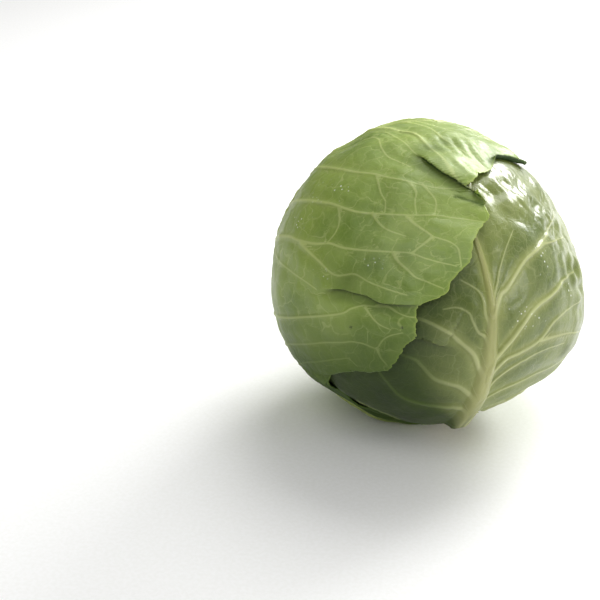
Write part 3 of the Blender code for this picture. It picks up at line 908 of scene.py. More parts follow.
def ripples(points, seed, size, waves=24):
    """Gentle uneven swells about size metres long, between -1 and 1."""
    random = np.random.default_rng(seed)
    total = np.zeros(points.shape[:2])
    for _ in range(waves):
        turn, phase = random.uniform(0, 2 * math.pi, 2)
        pace = 2 * math.pi / (size * random.uniform(0.7, 1.6))
        along = points[..., 0] * math.cos(turn) + points[..., 1] * math.sin(turn)
        total += np.sin(pace * along + phase)
    return total / math.sqrt(waves)


def vein_net(points, size, seed):
    """Distance from each grid point to the nearest line of an uneven net whose meshes are size metres
    wide, and how strong that line is, from 0 to 1. The distance is negative on one side of the line."""
    random = np.random.default_rng(seed)
    low, high = points.reshape(-1, 2).min(axis=0) - size, points.reshape(-1, 2).max(axis=0) + size
    columns, rows = np.ceil((high - low) / size).astype(int)
    knots = np.stack(np.meshgrid(np.arange(columns), np.arange(rows)), -1).reshape(-1, 2)
    knots = low + size * (knots + random.uniform(-0.42, 0.42, knots.shape))
    strengths = random.random(len(knots))
    tree = KDTree(len(knots))
    for index, knot in enumerate(knots):
        tree.insert((*knot, 0.0), index)
    tree.balance()
    wavy = points + 0.13 * size * np.stack([ripples(points, seed + k, 0.8 * size) for k in (1, 2)], -1)
    away, strong = np.zeros(points.shape[:2]), np.zeros(points.shape[:2])
    for place in np.ndindex(away.shape):
        (_, one, near), (_, other, far) = tree.find_n((*wavy[place], 0.0), 2)
        side = 1 if one < other else -1
        away[place] = side * (far**2 - near**2) / (2 * np.linalg.norm(knots[one] - knots[other]))
        strong[place] = (strengths[one] + strengths[other]) % 1.0
    return away, strong


patch = np.stack(np.meshgrid(*[np.linspace(0, 3 * NET_SIZE, 40)] * 2), -1)
from_net, _ = vein_net(patch, NET_SIZE, 1)
print("no point is more than", round(np.abs(from_net).max() * 1000, 1), "mm from a small vein")

# %% [markdown]
# ## Distances and cords
#
# A vein is a smooth cord on the blade. To raise it, each point of the leaf needs its distance to the
# nearest large vein. Comparing every point with every vein point would be slow. A k-d tree sorts the
# vein points by place first, and then needs a second or two.

# %% Distances and cords
THINNEST = 0.0013
RIB_FULLNESS = 3.2


def nearest(points, spots):
    """Distance from each grid point to the nearest spot, and that spot's number."""
    tree = KDTree(len(spots))
    for index, spot in enumerate(spots):
        tree.insert((spot[0], spot[1], 0.0), index)
    tree.balance()
    away, which = np.zeros(points.shape[:2]), np.zeros(points.shape[:2], int)
    for place in np.ndindex(away.shape):
        _, which[place], away[place] = tree.find((points[place][0], points[place][1], 0.0))
    return away, which


def cord(away, width, fullness=2):
    """A smooth round ridge: 1 on the vein's line and 0 beyond its half width."""
    return (1.0 - np.clip(away / width, 0.0, 1.0) ** fullness) ** 2


print("halfway to its edge a cord has", round(float(cord(0.5, 1.0)), 2), "of its height")

# %% [markdown]
# ## Relief
#
# Close to a vein the surface rises in a smooth cord, and between veins the blade puffs out a little, as
# quilting does. Displacement textures could do this too, but the export keeps only what the mesh holds.
# The same distances are handed on to the finish, which paints the veins by them.

# %% Relief
PUFF, PUFF_WIDTH = 0.00045, 0.008
NET_GROOVE = 0.0003
STRONG_VEIN = 0.0011
# How far the paler web reaches beside the rib and beside a vein: times the half width, plus metres
RIB_WEB, VEIN_WEB = (1.3, 0.0015), (2.0, 0.0006)


def relief(points, rib, lines, seed, net_depth):
    """Heights of the outer face above the blade, and what the finish needs to know at each vertex.
    The finish gets distances that change sign across a vein, because those stay exact between vertices."""
    rib_away, rib_at = nearest(points, rib[0])
    spots = np.concatenate([line for line, _, _ in lines])
    ahead = np.concatenate([np.gradient(line, axis=0) for line, _, _ in lines])
    ahead = ahead / np.linalg.norm(ahead, axis=1, keepdims=True)
    width = np.concatenate([width for _, width, _ in lines])
    height = np.concatenate([height for _, _, height in lines])
    away, at = nearest(points, spots)
    width, height, off = width[at], height[at], points - spots[at]
    signed = ahead[at, 0] * off[..., 1] - ahead[at, 1] * off[..., 0]
    rib_cord = cord(rib_away, rib[1][rib_at], RIB_FULLNESS)
    side_cord = cord(away, np.maximum(width, THINNEST))
    net_signed, net_strong = vein_net(points, NET_SIZE, seed)
    net_away = np.abs(net_signed)
    raised = np.sqrt((rib_cord * rib[2][rib_at]) ** 2 + (side_cord * height) ** 2)
    raised = raised + PUFF * smooth_step(0.0, PUFF_WIDTH, np.minimum(away, rib_away))
    raised = raised + net_depth * NET_GROOVE * smooth_step(0.0, 0.3 * NET_SIZE, net_away)
    strength = np.clip(height / STRONG_VEIN, 0.25, 1.0)
    web = np.maximum(
        np.exp(-((rib_away / (RIB_WEB[0] * rib[1][rib_at] + RIB_WEB[1])) ** 2)),
        strength * np.exp(-((away / (VEIN_WEB[0] * width + VEIN_WEB[1])) ** 2)),
    )
    near_net = (1 - smooth_step(0.0010, 0.0017, net_away)) * (1 - side_cord) * (1 - rib_cord)
    vein_near = 1 - smooth_step(1.0, 1.9, away / np.maximum(width, THINNEST))
    return raised, {
        "rib": rib_cord**0.7,
        "web": relaxed(web, 3),
        "vein": signed * 1000,
        "vein_width": width * 1000,
        "vein_near": vein_near * (0.4 + 0.6 * strength),
        "net": net_signed * 1000,
        "net_near": near_net * net_depth * (0.2 + 0.8 * net_strong),
    }


print("the blade puffs out by", PUFF * 1000, "mm between its veins")

# %% [markdown]
# ## Pleats
#
# Where a stiff leaf is bent too far it makes a pleat: a strip slides over the next one and throws a
# thin dark shadow. A vertex near the crease moves along the leaf by an S-shaped rule and the upper side
# lifts. Sculpting would do it by feel, but a formula keeps the pleat exactly where it was drawn.

# %% Where the pleats lie
# Each pleat: its places, half width and lift in mm, how strongly it folds, how much it fades at its end
COVER_PLEATS = [
    ([(147, 0), (143.7, 3.6), (142.1, 5.8), (137, 11.3), (132.9, 14.4), (130, 17.2), (126.2, 20.6),
      (122.5, 22.8), (118, 26)], 5.0, 2.6, 0.85, 0.55),
    ([(96, -40), (96.6, -34), (96.6, -29.2), (95.4, -25.2), (93.9, -20.3), (91.5, -16.2), (90.3, -11.5),
      (89.4, -6)], 4.6, 2.0, 0.55, 0.4),
]
FRONT_PLEATS = [
    ([(79.5, -14), (78.6, -6.8), (77.7, -3.7), (75.9, -1), (73.2, 1.4), (72.2, 4)], 4.0, 2.8, 0.85, 0.8),
]
print(len(COVER_PLEATS), "pleats on the cover leaf and", len(FRONT_PLEATS), "on the front leaf")

# %% [markdown]
# ## Folding a pleat
#
# Beside the fold itself, the finish has to know where the groove below the lip is, so that painted shade
# and a thin painted shadow line can be laid in it, and where the folded blade leans over, because its
# faces are raised straight out there and not square to a surface that turns under itself. A second
# sheet laid over the first would make the overlap too, but this way the leaf stays one skin.

# %% Folding a pleat
FOLD_END = 0.004


def pleated(leaf, points, ways, radius, pleats):
    """Folds the sheet along each pleat: the side to the left of its course lies over the other.
    Also says where painted shade goes in the groove below each lip, where a painted shadow line goes
    in the slit in it, and where the sheet is bent.
    off counts half widths from the crease, above 0 on the side that lies on top."""
    moved = points.copy()
    lift, groove, slit_shadow, bent = np.zeros((4, *points.shape[:2]))
    for places, half, rise, fold, fade in pleats:
        line, at = drawn_line(leaf, places)
        line, at = line[::3], at[::3]
        ahead = np.gradient(line, axis=0)
        ahead = ahead / np.linalg.norm(ahead, axis=1, keepdims=True)
        across = np.stack([-ahead[:, 1], ahead[:, 0]], -1)
        away, which = nearest(points, line)
        side = np.einsum("rcd,rcd->rc", points - line[which], across[which])
        share = at[which] / at[-1]
        along = np.einsum("rcd,rcd->rc", points - line[which], ahead[which])
        beyond = np.where((which == 0) | (which == len(line) - 1), along, 0.0)
        ends = np.exp(-((beyond / FOLD_END) ** 2))
        strength = smooth_step(0.0, 0.35, share) * (1 - fade * smooth_step(0.65, 1.0, share)) * ends
        off = side / (half / 1000)
        slide = -fold * strength * np.sin(math.pi * np.clip(off, -1, 1)) * half / 1000
        moved += slide[..., None] * across[which]
        lift += rise / 1000 * strength * smooth_step(-0.45, 0.35, off) * (1 - smooth_step(1.5, 6.0, off))
        # Where painted shade goes below the lip, and where the painted shadow line goes in the slit
        shade_below_lip = strength * smooth_step(-2.2, -0.9, off) * (1 - smooth_step(0.1, 0.45, off))
        shadow_in_slit = strength * smooth_step(-0.9, -0.5, off) * (1 - smooth_step(-0.1, 0.25, off))
        on_fold = smooth_step(0.0, 0.15, strength) * (1 - smooth_step(0.9, 1.5, np.abs(off)))
        groove, slit_shadow = np.maximum(groove, shade_below_lip), np.maximum(slit_shadow, shadow_in_slit)
        bent = np.maximum(bent, on_fold)
    return leaf.chart.wrap(moved), radius + lift, groove, slit_shadow, bent[..., None]


print("a pleat fades within", FOLD_END * 1000, "mm past its ends")

# %% [markdown]
# ## Rolled margins
#
# A margin that dried in the sun rolls outwards, so its last few millimetres wrap round a cylinder. A
# Simple Deform bend could roll a whole mesh, but here each row has to roll by its own amount.

# %% Rolled margins
ROLL_LENGTH = 0.0045
# Every margin rolls by at least this, in radians, and its direction is read over this many columns
LEAST_ROLL = 0.12
EDGE_COLUMNS = 9


def row_bumps(rows, bumps):
    """A value along the margin: each bump is (middle row, half width in rows, height)."""
    total = np.zeros(len(rows))
    for middle, half, height in bumps:
        total = np.maximum(total, height * (1 - smooth_step(0.35 * half, half, np.abs(rows - middle))))
    return total


def relaxed_rows(values, rounds):
    for _ in range(rounds):
        wide = np.pad(values, ((1, 1), (0, 0)), mode="edge")
        values = (wide[:-2] + 2 * values + wide[2:]) / 4
    return values / np.linalg.norm(values, axis=1, keepdims=True)


def rolled(surface, side, turn):
    """Rolls the margin outwards. turn is how many radians each row rolls over its last stretch."""
    columns = surface if side > 0 else surface[:, ::-1]
    steps = np.linalg.norm(np.diff(columns, axis=1), axis=2)
    to_edge = np.zeros(columns.shape[:2])
    to_edge[:, :-1] = steps[:, ::-1].cumsum(axis=1)[:, ::-1]
    out = columns[:, -1] - columns[:, -EDGE_COLUMNS]
    out = relaxed_rows(out / np.linalg.norm(out, axis=1, keepdims=True), 4)
    normal = columns[:, -EDGE_COLUMNS] - HEAD_CENTRE
    normal -= np.einsum("rd,rd->r", normal, out)[:, None] * out
    normal /= np.linalg.norm(normal, axis=1, keepdims=True)
    bend = ROLL_LENGTH / np.maximum(turn, 0.01)[:, None]
    past = np.maximum(ROLL_LENGTH - to_edge, 0.0)
    angle = past / bend
    shift = (bend * np.sin(angle) - past)[..., None] * out[:, None]
    shift = shift + (bend * (1 - np.cos(angle)))[..., None] * normal[:, None]
    columns = columns + shift
    return columns if side > 0 else columns[:, ::-1]


print("margins roll over their last", ROLL_LENGTH * 1000, "mm")

# %% [markdown]
# ## The outer face
#
# The outer face lies a blade's thickness above the sheet, higher where there are veins, and thins out
# towards the margin. Solidify would do the same with an even thickness only. On the flat spot that the
# head rests on, nothing may reach below the floor.

# %% The outer face
BLADE = 0.00085
EDGE_BLADE = 0.00040
THINNING = 0.006
LOWEST_SHEET = 0.0003


def normals(surface):
    up, out = np.gradient(surface, axis=0), np.gradient(surface, axis=1)
    normal = np.cross(out, up)
    return normal / np.maximum(np.linalg.norm(normal, axis=2, keepdims=True), 1e-12)


def outer_face(sheet, ways, bent, raised, soft, to_margin):
    """The leaf's outer face. Where the sheet is bent over, it is raised straight out instead."""
    facing = normals(sheet) * (1 - bent) + ways * bent
    facing = facing / np.linalg.norm(facing, axis=2, keepdims=True)
    thin = smooth_step(0.0, THINNING, to_margin)
    raised = raised * (0.15 + 0.85 * thin) * soft
    blade = EDGE_BLADE + (BLADE - EDGE_BLADE) * thin
    outer = sheet + facing * (blade + raised)[..., None]
    outer[..., 2] = np.maximum(outer[..., 2], 0.0)
    return outer


print("a blade is", BLADE * 1000, "mm thick and", EDGE_BLADE * 1000, "mm at its margin")

# %% [markdown]
# ## From sheet to leaf
#
# A leaf is closed by hand: a fine outer face, a coarser inner face a blade's thickness below it, and a
# narrow rim of faces round the edge that joins the two. Solidify would double the fine face and the
# face count with it. The values that the finish needs are stored at the vertices, under plain names,
# because they then stay with the mesh wherever it goes.

# %% Closing a leaf
INNER_EVERY = 2


def rim_faces(outer, inner):
    """Faces that join the outer edge to the inner one, INNER_EVERY outer steps at a time."""
    faces = []
    for index in range(len(inner) - 1):
        stretch = outer[index * INNER_EVERY:(index + 1) * INNER_EVERY + 1]
        faces.append([*stretch[::-1], inner[index], inner[index + 1]])
    return faces


def leaf_piece(name, outer, inner, values, finishes):
    """The closed leaf as an object. finishes are for the outer face and for the inner one."""
    inner = inner[::INNER_EVERY, ::INNER_EVERY]
    out_index = np.arange(outer.shape[0] * outer.shape[1]).reshape(outer.shape[:2])
    in_index = out_index.size + np.arange(inner.shape[0] * inner.shape[1]).reshape(inner.shape[:2])
    rims = []
    for turned in range(4):
        around_out, around_in = np.rot90(out_index, turned), np.rot90(in_index, turned)
        rims += rim_faces(around_out[0].tolist(), around_in[0].tolist())
    outside, inside = quads(out_index), quads(in_index[:, ::-1])
    mesh = bpy.data.meshes.new(name)
    corners = np.concatenate([outer.reshape(-1, 3), inner.reshape(-1, 3)])
    mesh.from_pydata(corners.tolist(), [], outside + inside + rims)
    mesh.shade_smooth()
    slots = [0] * len(outside) + [1] * len(inside) + [0] * len(rims)
    mesh.polygons.foreach_set("material_index", slots)
    mesh.polygons.foreach_set("use_smooth", [True] * (len(outside) + len(inside)) + [False] * len(rims))
    for label, field in values.items():
        both = np.concatenate([field.ravel(), field[::INNER_EVERY, ::INNER_EVERY].ravel()])
        mesh.attributes.new(label, "FLOAT", "POINT").data.foreach_set("value", both.astype(np.float32))
    for finish in finishes:
        mesh.materials.append(finish)
    piece = add(name, mesh)
    triangles = sum(len(face) - 2 for face in outside + inside + rims)
    print(name, "has", triangles, "triangles")
    return piece


print("the inner face keeps one point in", INNER_EVERY**2)

# %% [markdown]
# ## The colour of a leaf
#
# A cabbage leaf is a green blade with pale, almost white veins, a thin yellow-green margin and a waxy
# bloom that makes it look dusty where it isn't rubbed off. The recipe lays one paint over the other:
# cloudy greens, pale webs beside the veins, the veins themselves, the rib, the margin, the bloom, painted
# shade in hollows, creases and on the side turned from the light, painted shadow lines in the creases'
# slits, dark spots, and dew drops painted near white as their glints. Most of them lie where the values
# at the vertices say. An image texture would be quicker, but this stays sharp at any size.

# %% Veins, finest cells and dew
# Sizes in metres: the clouds of green, the patches of bloom and the grain of the skin
CLOUD, PATCH, GRAIN = 0.045, 0.012, 0.0012
CELLS_PER_METRE = 270.0
WARPS_PER_METRE, WARP = 180.0, 0.0022
DROP_SPACING = 0.0026


def reckon(tree, how, one, other=0.0):
    return node(tree, "ShaderNodeMath", {0: one, 1: other}, operation=how).outputs[0]


def painted(tree, name):
    """A value that the mesh carries at its vertices."""
    return node(tree, "ShaderNodeAttribute", attribute_name=name).outputs["Fac"]


def thin_line(tree, signed, near, width):
    """1 along the line where a signed distance is 0, falling to 0 at this width in mm."""
    away = reckon(tree, "DIVIDE", reckon(tree, "ABSOLUTE", painted(tree, signed)), width)
    return reckon(tree, "MULTIPLY", ramp(tree, away, 0.3, 1.3, 1.0, 0.0), painted(tree, near))


def finest_cells(tree, places):
    """1 on the lines of the finest net, whose meshes are a few millimetres wide, and 0 between."""
    warp = {"Vector": places, "Scale": WARPS_PER_METRE, "Detail": 2.0}
    warp = node(tree, "ShaderNodeTexNoise", warp).outputs["Color"]
    bent = node(tree, "ShaderNodeVectorMath", {0: warp, "Scale": WARP}, operation="SCALE").outputs[0]
    bent = node(tree, "ShaderNodeVectorMath", {0: places, 1: bent}, operation="ADD").outputs[0]
    cells = {"Vector": bent, "Scale": CELLS_PER_METRE}
    edge = node(tree, "ShaderNodeTexVoronoi", cells, feature="DISTANCE_TO_EDGE").outputs["Distance"]
    return ramp(tree, edge, 0.0, 0.09, 1.0, 0.0)


def dew_drops(tree, places):
    """1 on small round drops, scattered where the mesh says that dew lies."""
    cells = {"Vector": places, "Scale": 1 / DROP_SPACING, "Randomness": 1.0}
    cells = node(tree, "ShaderNodeTexVoronoi", cells, feature="F1")
    chosen = ramp(tree, cells.outputs["Color"], 0.40, 0.50)
    drop = ramp(tree, cells.outputs["Distance"], 0.14, 0.24, 1.0, 0.0)
    return reckon(tree, "MULTIPLY", drop, reckon(tree, "MULTIPLY", chosen, painted(tree, "dew")))


print("the finest cells are", round(1000 / CELLS_PER_METRE, 1), "mm wide")

# %% [markdown]
# ## Paint over paint
#
# A real leaf shows several layers at once: pigment, veins, wax and whatever lies on them. Here each
# layer is one Mix node whose factor is where the paint lies times how strong it is. The painted shade is
# the only layer that multiplies instead, as a real shadow does, so that veins still show through it. One
# colour ramp for all would be shorter, but then no layer could be changed alone.

# %% Paint over paint
# Painted shade: the places marked as shaded are multiplied by this colour
SHADE = (0.160, 0.235, 0.085, 1)
# Dark spots on the leaf, and the painted shadow lines in the pleats' slits
DARK_SPOT_AND_SHADOW = colour(38, 44, 24)
# Dew drops are painted near white: a painted glint where a clear drop would mirror the lamps
DEW_GLINT = colour(240, 244, 234)
WAX = 0.12


def laid_over(tree, tone, paint, where, strength):
    """The tone with a paint laid over it where a value says, at this strength."""
    return mix(tree, reckon(tree, "MULTIPLY", where, strength), tone, paint)


def leaf_tone(tree, places, patchy, cells, blade, deep, web, vein, rib, margin, bloom):
    """The colour of a leaf, from its cloudy greens up to its dew."""
    broad = noise(tree, places, CLOUD, 3.0)
    tone = mix(tree, ramp(tree, broad, 0.35, 0.65), deep, blade)
    tone = mix(tree, ramp(tree, patchy, 0.40, 0.75, 0.0, 0.35), tone, blade)
    tone = mix(tree, ramp(tree, painted(tree, "web"), 0.05, 0.95, 0.0, 0.75), tone, web)
    tone = laid_over(tree, tone, web, cells, 0.14)
    tone = laid_over(tree, tone, vein, thin_line(tree, "net", "net_near", 0.42), 0.55)
    width = reckon(tree, "MULTIPLY", painted(tree, "vein_width"), 0.52)
    tone = laid_over(tree, tone, vein, thin_line(tree, "vein", "vein_near", width), 0.8)
    tone = laid_over(tree, tone, rib, painted(tree, "rib"), 0.85)
    tone = laid_over(tree, tone, margin, painted(tree, "rim"), 0.5)
    tone = laid_over(tree, tone, bloom, ramp(tree, patchy, 0.3, 0.8), WAX)
    # Painted shade, multiplied in where the mesh's shade value says
    shade = {0: painted(tree, "shade"), 6: tone, 7: SHADE}
    tone = node(tree, "ShaderNodeMix", shade, data_type="RGBA", blend_type="MULTIPLY").outputs[2]
    # Dark spots, and painted shadow lines in the pleats' slits
    tone = mix(tree, painted(tree, "spot"), tone, DARK_SPOT_AND_SHADOW)
    # Dew drops, painted near white as their glints
    return laid_over(tree, tone, DEW_GLINT, dew_drops(tree, places), 0.8)


print("the bloom covers up to", round(WAX * 100), "percent of the green")

# %% [markdown]
# ## The skin of a leaf
#
# Wax makes the skin glossy in some patches and dull in others. A clear coat over the green gives the
# wet white highlights, fine grain and the finest cells break them up, and a little light travels
# inside the leaf. Where shade is painted, the coat fades and the skin gets duller, or those places
# would mirror the room and look grey. One even gloss would be simpler, but it looks like plastic.

# %% The skin of a leaf
SEEN_THROUGH = 0.10
LIGHT_REACH = (0.0016, 0.0022, 0.0006)
GRAIN_DEPTH = 0.0004
LEAF_IOR = 1.40


def leaf_finish(name, gloss, coat=0.0, coat_roughness=None, **paints):
    """A leaf's finish. gloss is its lowest roughness, and paints are what leaf_tone lays on."""
    finish, tree, surface, places = new_finish(name)
    patchy = noise(tree, places, PATCH, 4.0, 0.6)
    grain = noise(tree, places, GRAIN, 3.0, 0.6)
    cells = finest_cells(tree, places)
    tone = leaf_tone(tree, places, patchy, cells, **paints)
    tree.links.new(tone, surface.inputs["Base Color"])
    # Duller where shade is painted
    dull = reckon(tree, "MULTIPLY", painted(tree, "shade"), 0.25)
    rough = reckon(tree, "ADD", ramp(tree, patchy, 0.3, 0.75, gloss, gloss + 0.18), dull)
    tree.links.new(rough, surface.inputs["Roughness"])
    heights = reckon(tree, "MULTIPLY", grain, 0.35)
    heights = reckon(tree, "ADD", heights, reckon(tree, "MULTIPLY", cells, 0.4))
    bump = node(tree, "ShaderNodeBump", {"Height": heights, "Strength": 0.30, "Distance": GRAIN_DEPTH})
    tree.links.new(bump.outputs["Normal"], surface.inputs["Normal"])
    if coat:
        # The coat fades where shade is painted
        kept = reckon(tree, "SUBTRACT", 1.0, reckon(tree, "MULTIPLY", painted(tree, "shade"), 0.9))
        tree.links.new(reckon(tree, "MULTIPLY", kept, coat), surface.inputs["Coat Weight"])
        surface.inputs["Coat Roughness"].default_value = coat_roughness
    surface.inputs["Subsurface Weight"].default_value = SEEN_THROUGH
    surface.inputs["Subsurface Radius"].default_value = LIGHT_REACH
    surface.inputs["Subsurface Scale"].default_value = 1.0
    surface.inputs["IOR"].default_value = LEAF_IOR
    return finish


print("a leaf lets", round(SEEN_THROUGH * 100), "percent of its light travel inside it")

# %% [markdown]
# ## The two leaf finishes that show
#
# The front leaf is glossy, because it was covered until its outer leaves were taken off. The cover
# leaf saw the sun, and it is more matt. One finish whose numbers are stored on each leaf would do
# for both, but two short lists are easier to compare with the photograph.

# %% The two finishes that show
pale_leaf = leaf_finish(
    "pale wrapper leaf", gloss=0.34, coat=0.34, coat_roughness=0.14,
    blade=colour(111, 123, 53), deep=colour(82, 98, 34), web=colour(146, 153, 84),
    vein=colour(186, 190, 134), rib=colour(157, 158, 97), margin=colour(150, 162, 70),
    bloom=colour(176, 182, 128),
)
green_leaf = leaf_finish(
    "green cover leaf", gloss=0.42, coat=0.14, coat_roughness=0.22,
    blade=colour(140, 160, 74), deep=colour(112, 135, 58), web=colour(160, 175, 97),
    vein=colour(192, 202, 130), rib=colour(160, 172, 98), margin=colour(158, 176, 80),
    bloom=colour(158, 170, 128),
)
print("a leaf finish has", len(green_leaf.node_tree.nodes), "nodes")

# %% [markdown]
# ## The leaf finishes that hardly show
#
# The wrapper leaves at the sides and the back are a light green without the clear coat. The inner faces
# are a deep green that shows only at folds and between the bases. They could share the outer faces'
# finish, but then the gaps between the bases would look pale and shallow.

# %% The finishes of the other leaves and of the inner faces
inner_leaf = leaf_finish(
    "light wrapper leaf", gloss=0.40,
    blade=colour(134, 146, 80), deep=colour(108, 124, 60), web=colour(160, 168, 112),
    vein=colour(188, 192, 148), rib=colour(180, 184, 134), margin=colour(160, 174, 84),
    bloom=colour(184, 192, 162),
)
leaf_inside = leaf_finish(
    "inner face of a leaf", gloss=0.30,
    blade=colour(76, 108, 40), deep=colour(58, 90, 30), web=colour(96, 122, 58),
    vein=colour(120, 142, 76), rib=colour(120, 142, 76), margin=colour(96, 124, 48),
    bloom=colour(120, 140, 90),
)
print("mixed", inner_leaf.name, "and", leaf_inside.name)

# %% [markdown]
# ## What is painted at the vertices
#
# The margin, the painted shade of hollows and creases, the painted shadow lines in the slits, the spots
# and the patches of dew lie at known places on a leaf. They are stored as values at its vertices, under
# plain names that the finish reads. Painting them by brush in vertex paint mode gives the same kind of
# values, but can't be repeated by a script.

# %% What is painted at the vertices
ROW_STEP, LEAST_MARGIN = 0.0008, 0.0005
# How dark the painted shadow line in a pleat's slit is, and how dark a real spot is
SLIT_DARK, SPOT_DARK = 0.75, 0.9


def hump(leaf, points, place, size):
    """A smooth hump, 1 at a place and gone about two sizes away from it."""
    return np.exp(-((np.linalg.norm(points - leaf.on_chart([place])[0], axis=2) / size) ** 2))


def margin_distance(sheet, shares, rib_column):
    """How far each grid point is from the leaf's nearest margin, in metres."""
    lengths = np.linalg.norm(sheet[:, -1] - sheet[:, rib_column], axis=1)
    to_side = np.where(shares[None, :] > 0, 1 - shares[None, :], 1 + shares[None, :]) * lengths[:, None]
    rows = np.arange(len(sheet))
    to_end = np.minimum(rows, rows[::-1])[:, None] * ROW_STEP
    return np.minimum(to_side, to_end + LEAST_MARGIN)


def spots_and_dew(leaf, points, slit_shadow, spots, dew):
    """Painted shadow lines in the slits, then dark spots and patches of dew, each (place, size in metres).
    """
    spot, wet = SLIT_DARK * slit_shadow, np.zeros(points.shape[:2])
    for place, size in spots:
        away = np.linalg.norm(points - leaf.on_chart([place])[0], axis=2)
        spot = np.maximum(spot, SPOT_DARK * (1 - smooth_step(0.4 * size, size, away)))
    for place, size in dew:
        wet = np.maximum(wet, hump(leaf, points, place, size))
    return {"spot": spot, "dew": wet}


print("two grid rows lie about", ROW_STEP * 1000, "mm apart at a leaf's ends")

# %% [markdown]
# ## A leaf from its plan
#
# All six leaves go through the same steps: lay the sheet, raise the veins, fold and roll it, paint it,
# close it. Then the piece is hung on the head's only body, and the solid that it stands for is hidden.
# What is special to a leaf, such as its blisters, comes in as a function. A stack of modifiers could do
# some of this, but its settings would be spread over six objects.

# %% A leaf from its plan
SWELL_SIZE = 0.03
# The pale rim fades between these distances from the margin, in metres
RIM = (0.0002, 0.0013)
# How strong the painted shade in the groove below a pleat's lip is
GROOVE_SHADE = 0.55


def finished_leaf(leaf, grid, veins, laid, seed, finishes, rib_size=1.0, pleats=(), rolls=None,
                  shape=None, shade=None, spots=(), dew=(), swell=0.0004, rounds=60, hug=None,
                  net_depth=0.6):
    """Makes the leaf and adds it to those laid. shape and shade are functions of the leaf, its points,
    rows and shares: how far the sheet moves out, and how much shade is painted into its green. rolls
    gives the bumps of each side's margin, swell the height of gentle swells, rounds how often the sheet
    is averaged, and net_depth how strongly the small veins show."""
    points, ways, rows, shares, radius = lay(leaf, laid, *grid, seed, rounds, hug)
    raised, values = relief(points, rib_line(leaf, rib_size), veins, seed, net_depth)
    soft = off_rest(ways)
    radius = radius + swell * ripples(points, seed, SWELL_SIZE) * soft
    if shape:
        radius = radius + shape(leaf, points, rows, shares) * soft
    ways, radius, groove, slit_shadow, bent = pleated(leaf, points, ways, radius, pleats)
    sheet = HEAD_CENTRE + ways * radius[..., None]
    to_margin = margin_distance(sheet, shares, len(grid[2]) - 1)
    # Painted shade from the leaf's own shade function and from the pleats' grooves
    deep = shade(leaf, points, rows, shares) if shade else 0.0
    values["rim"] = 1 - smooth_step(*RIM, to_margin)
    values["shade"] = np.maximum(GROOVE_SHADE * groove, deep)
    values.update(spots_and_dew(leaf, points, slit_shadow, spots, dew))
    for side, bumps in (rolls or {}).items():
        sheet = rolled(sheet, side, row_bumps(rows, bumps) + LEAST_ROLL)
    outer = outer_face(sheet, ways, bent, raised, soft, to_margin)
    sheet[..., 2] = np.maximum(sheet[..., 2], LOWEST_SHEET)
    piece = leaf_piece(leaf.name + "_fine", outer, sheet, values, finishes)
    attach(piece, "root")
    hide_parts(leaf.name)
    laid.append(outer[::3, ::3])


laid = []
print("leaves swell gently over", SWELL_SIZE * 1000, "mm")

# %% [markdown]
# ## The even leaves, from the inside out
#
# The leaves are laid in the order in which they wrap the heart. Each one rests on those before it, so
# a vein below can lift the leaf above, as it does on the real head. A few of their margins roll. Making
# each leaf a little larger than the last would keep them apart too, but the gaps would be too even.

# %% The even leaves
EVEN_ROLLS = {1: [(6, 1.0, 0.6), (9, 0.8, 0.9)], -1: [(5, 0.8, 0.7), (8, 1.2, 0.5)]}


def painted_shade_near_stem(leaf, points, rows, shares):
    """Painted shade near the stem, for a leaf that lies under the others."""
    return np.repeat(0.75 * (1 - smooth_step(4.5, 7.0, rows))[:, None], len(shares), 1)


for seed, leaf in enumerate((under, right, left, back), start=3):
    ups = spread((BASE, BASE + 20, 30), (BASE + 20, leaf.ups[-1], 130))
    finished_leaf(
        leaf, (ups, EVEN_COLUMNS, EVEN_COLUMNS), row_veins(leaf, 3, leaf.last_row, (1, -1)), laid, seed,
        (inner_leaf, leaf_inside), rib_size=0.55, rolls=EVEN_ROLLS, rounds=30,
        shade=painted_shade_near_stem if leaf is left else None,
    )
print("laid", len(laid), "even leaves")

# %% [markdown]
# ## The front leaf's blisters and shade
#
# At its upper right the front leaf is blistered, where it grew faster than its veins: a band of small
# soft bumps that break the highlight into wet patches. Further down it has a few soft folds. Left of
# its midrib, where it turns from the light, shade is painted into its green, most of all low down, and
# also in two hollows on the right; the rib's lower end is darker too. All of it could be sculpted and
# painted by hand, but waves under a smooth mask need only a few numbers.

# %% The front leaf's blisters and shade
def blisters(leaf, points, rows, shares):
    """The blistered patch at the upper right of the front leaf."""
    course, _ = drawn_line(leaf, [(130, 32), (126.1, 38.8), (120.6, 47), (114, 58), (107.8, 66)])
    away, _ = nearest(points, course[::10])
    bumps = ripples(points, 71, 0.016, 16) + 0.22 * ripples(points, 72, 0.006, 24)
    folds = 0.0013 * ripples(points, 73, 0.016, 16) * hump(leaf, points, (82, 76), 0.022)
    return 0.00075 * bumps * np.exp(-((away / 0.018) ** 2)) + folds


def front_shade(leaf, points, rows, shares):
    """Painted shade left of the front leaf's midrib, most of all low down, and in two hollows; the rib's
    lower end is darker too.
    """
    up, left = rows[:, None], -shares[None, :]
    # Painted shade on the side turned from the light
    beside = smooth_step(0.02, 0.16, left) * (0.32 + 0.68 * smooth_step(0.10, 0.45, left))
    # Darker at the rib's lower end, and painted shade in two hollows near the right margin
    low_rib = 0.7 * (1 - smooth_step(0.0, 0.14, np.abs(left))) * (1 - smooth_step(2.0, 7.0, up))
    hollow = 0.55 * hump(leaf, points, (57, 65), 0.005) + 0.3 * hump(leaf, points, (83, 66), 0.006)
    # Less painted shade higher up, and on the lit bulge above the front pleat
    beside = beside * (1 - 0.25 * smooth_step(7.5, 10.0, up))
    beside = beside * (1 - 0.35 * hump(leaf, points, (77, 3), 0.010))
    return np.maximum(np.maximum(beside, low_rib), hollow)


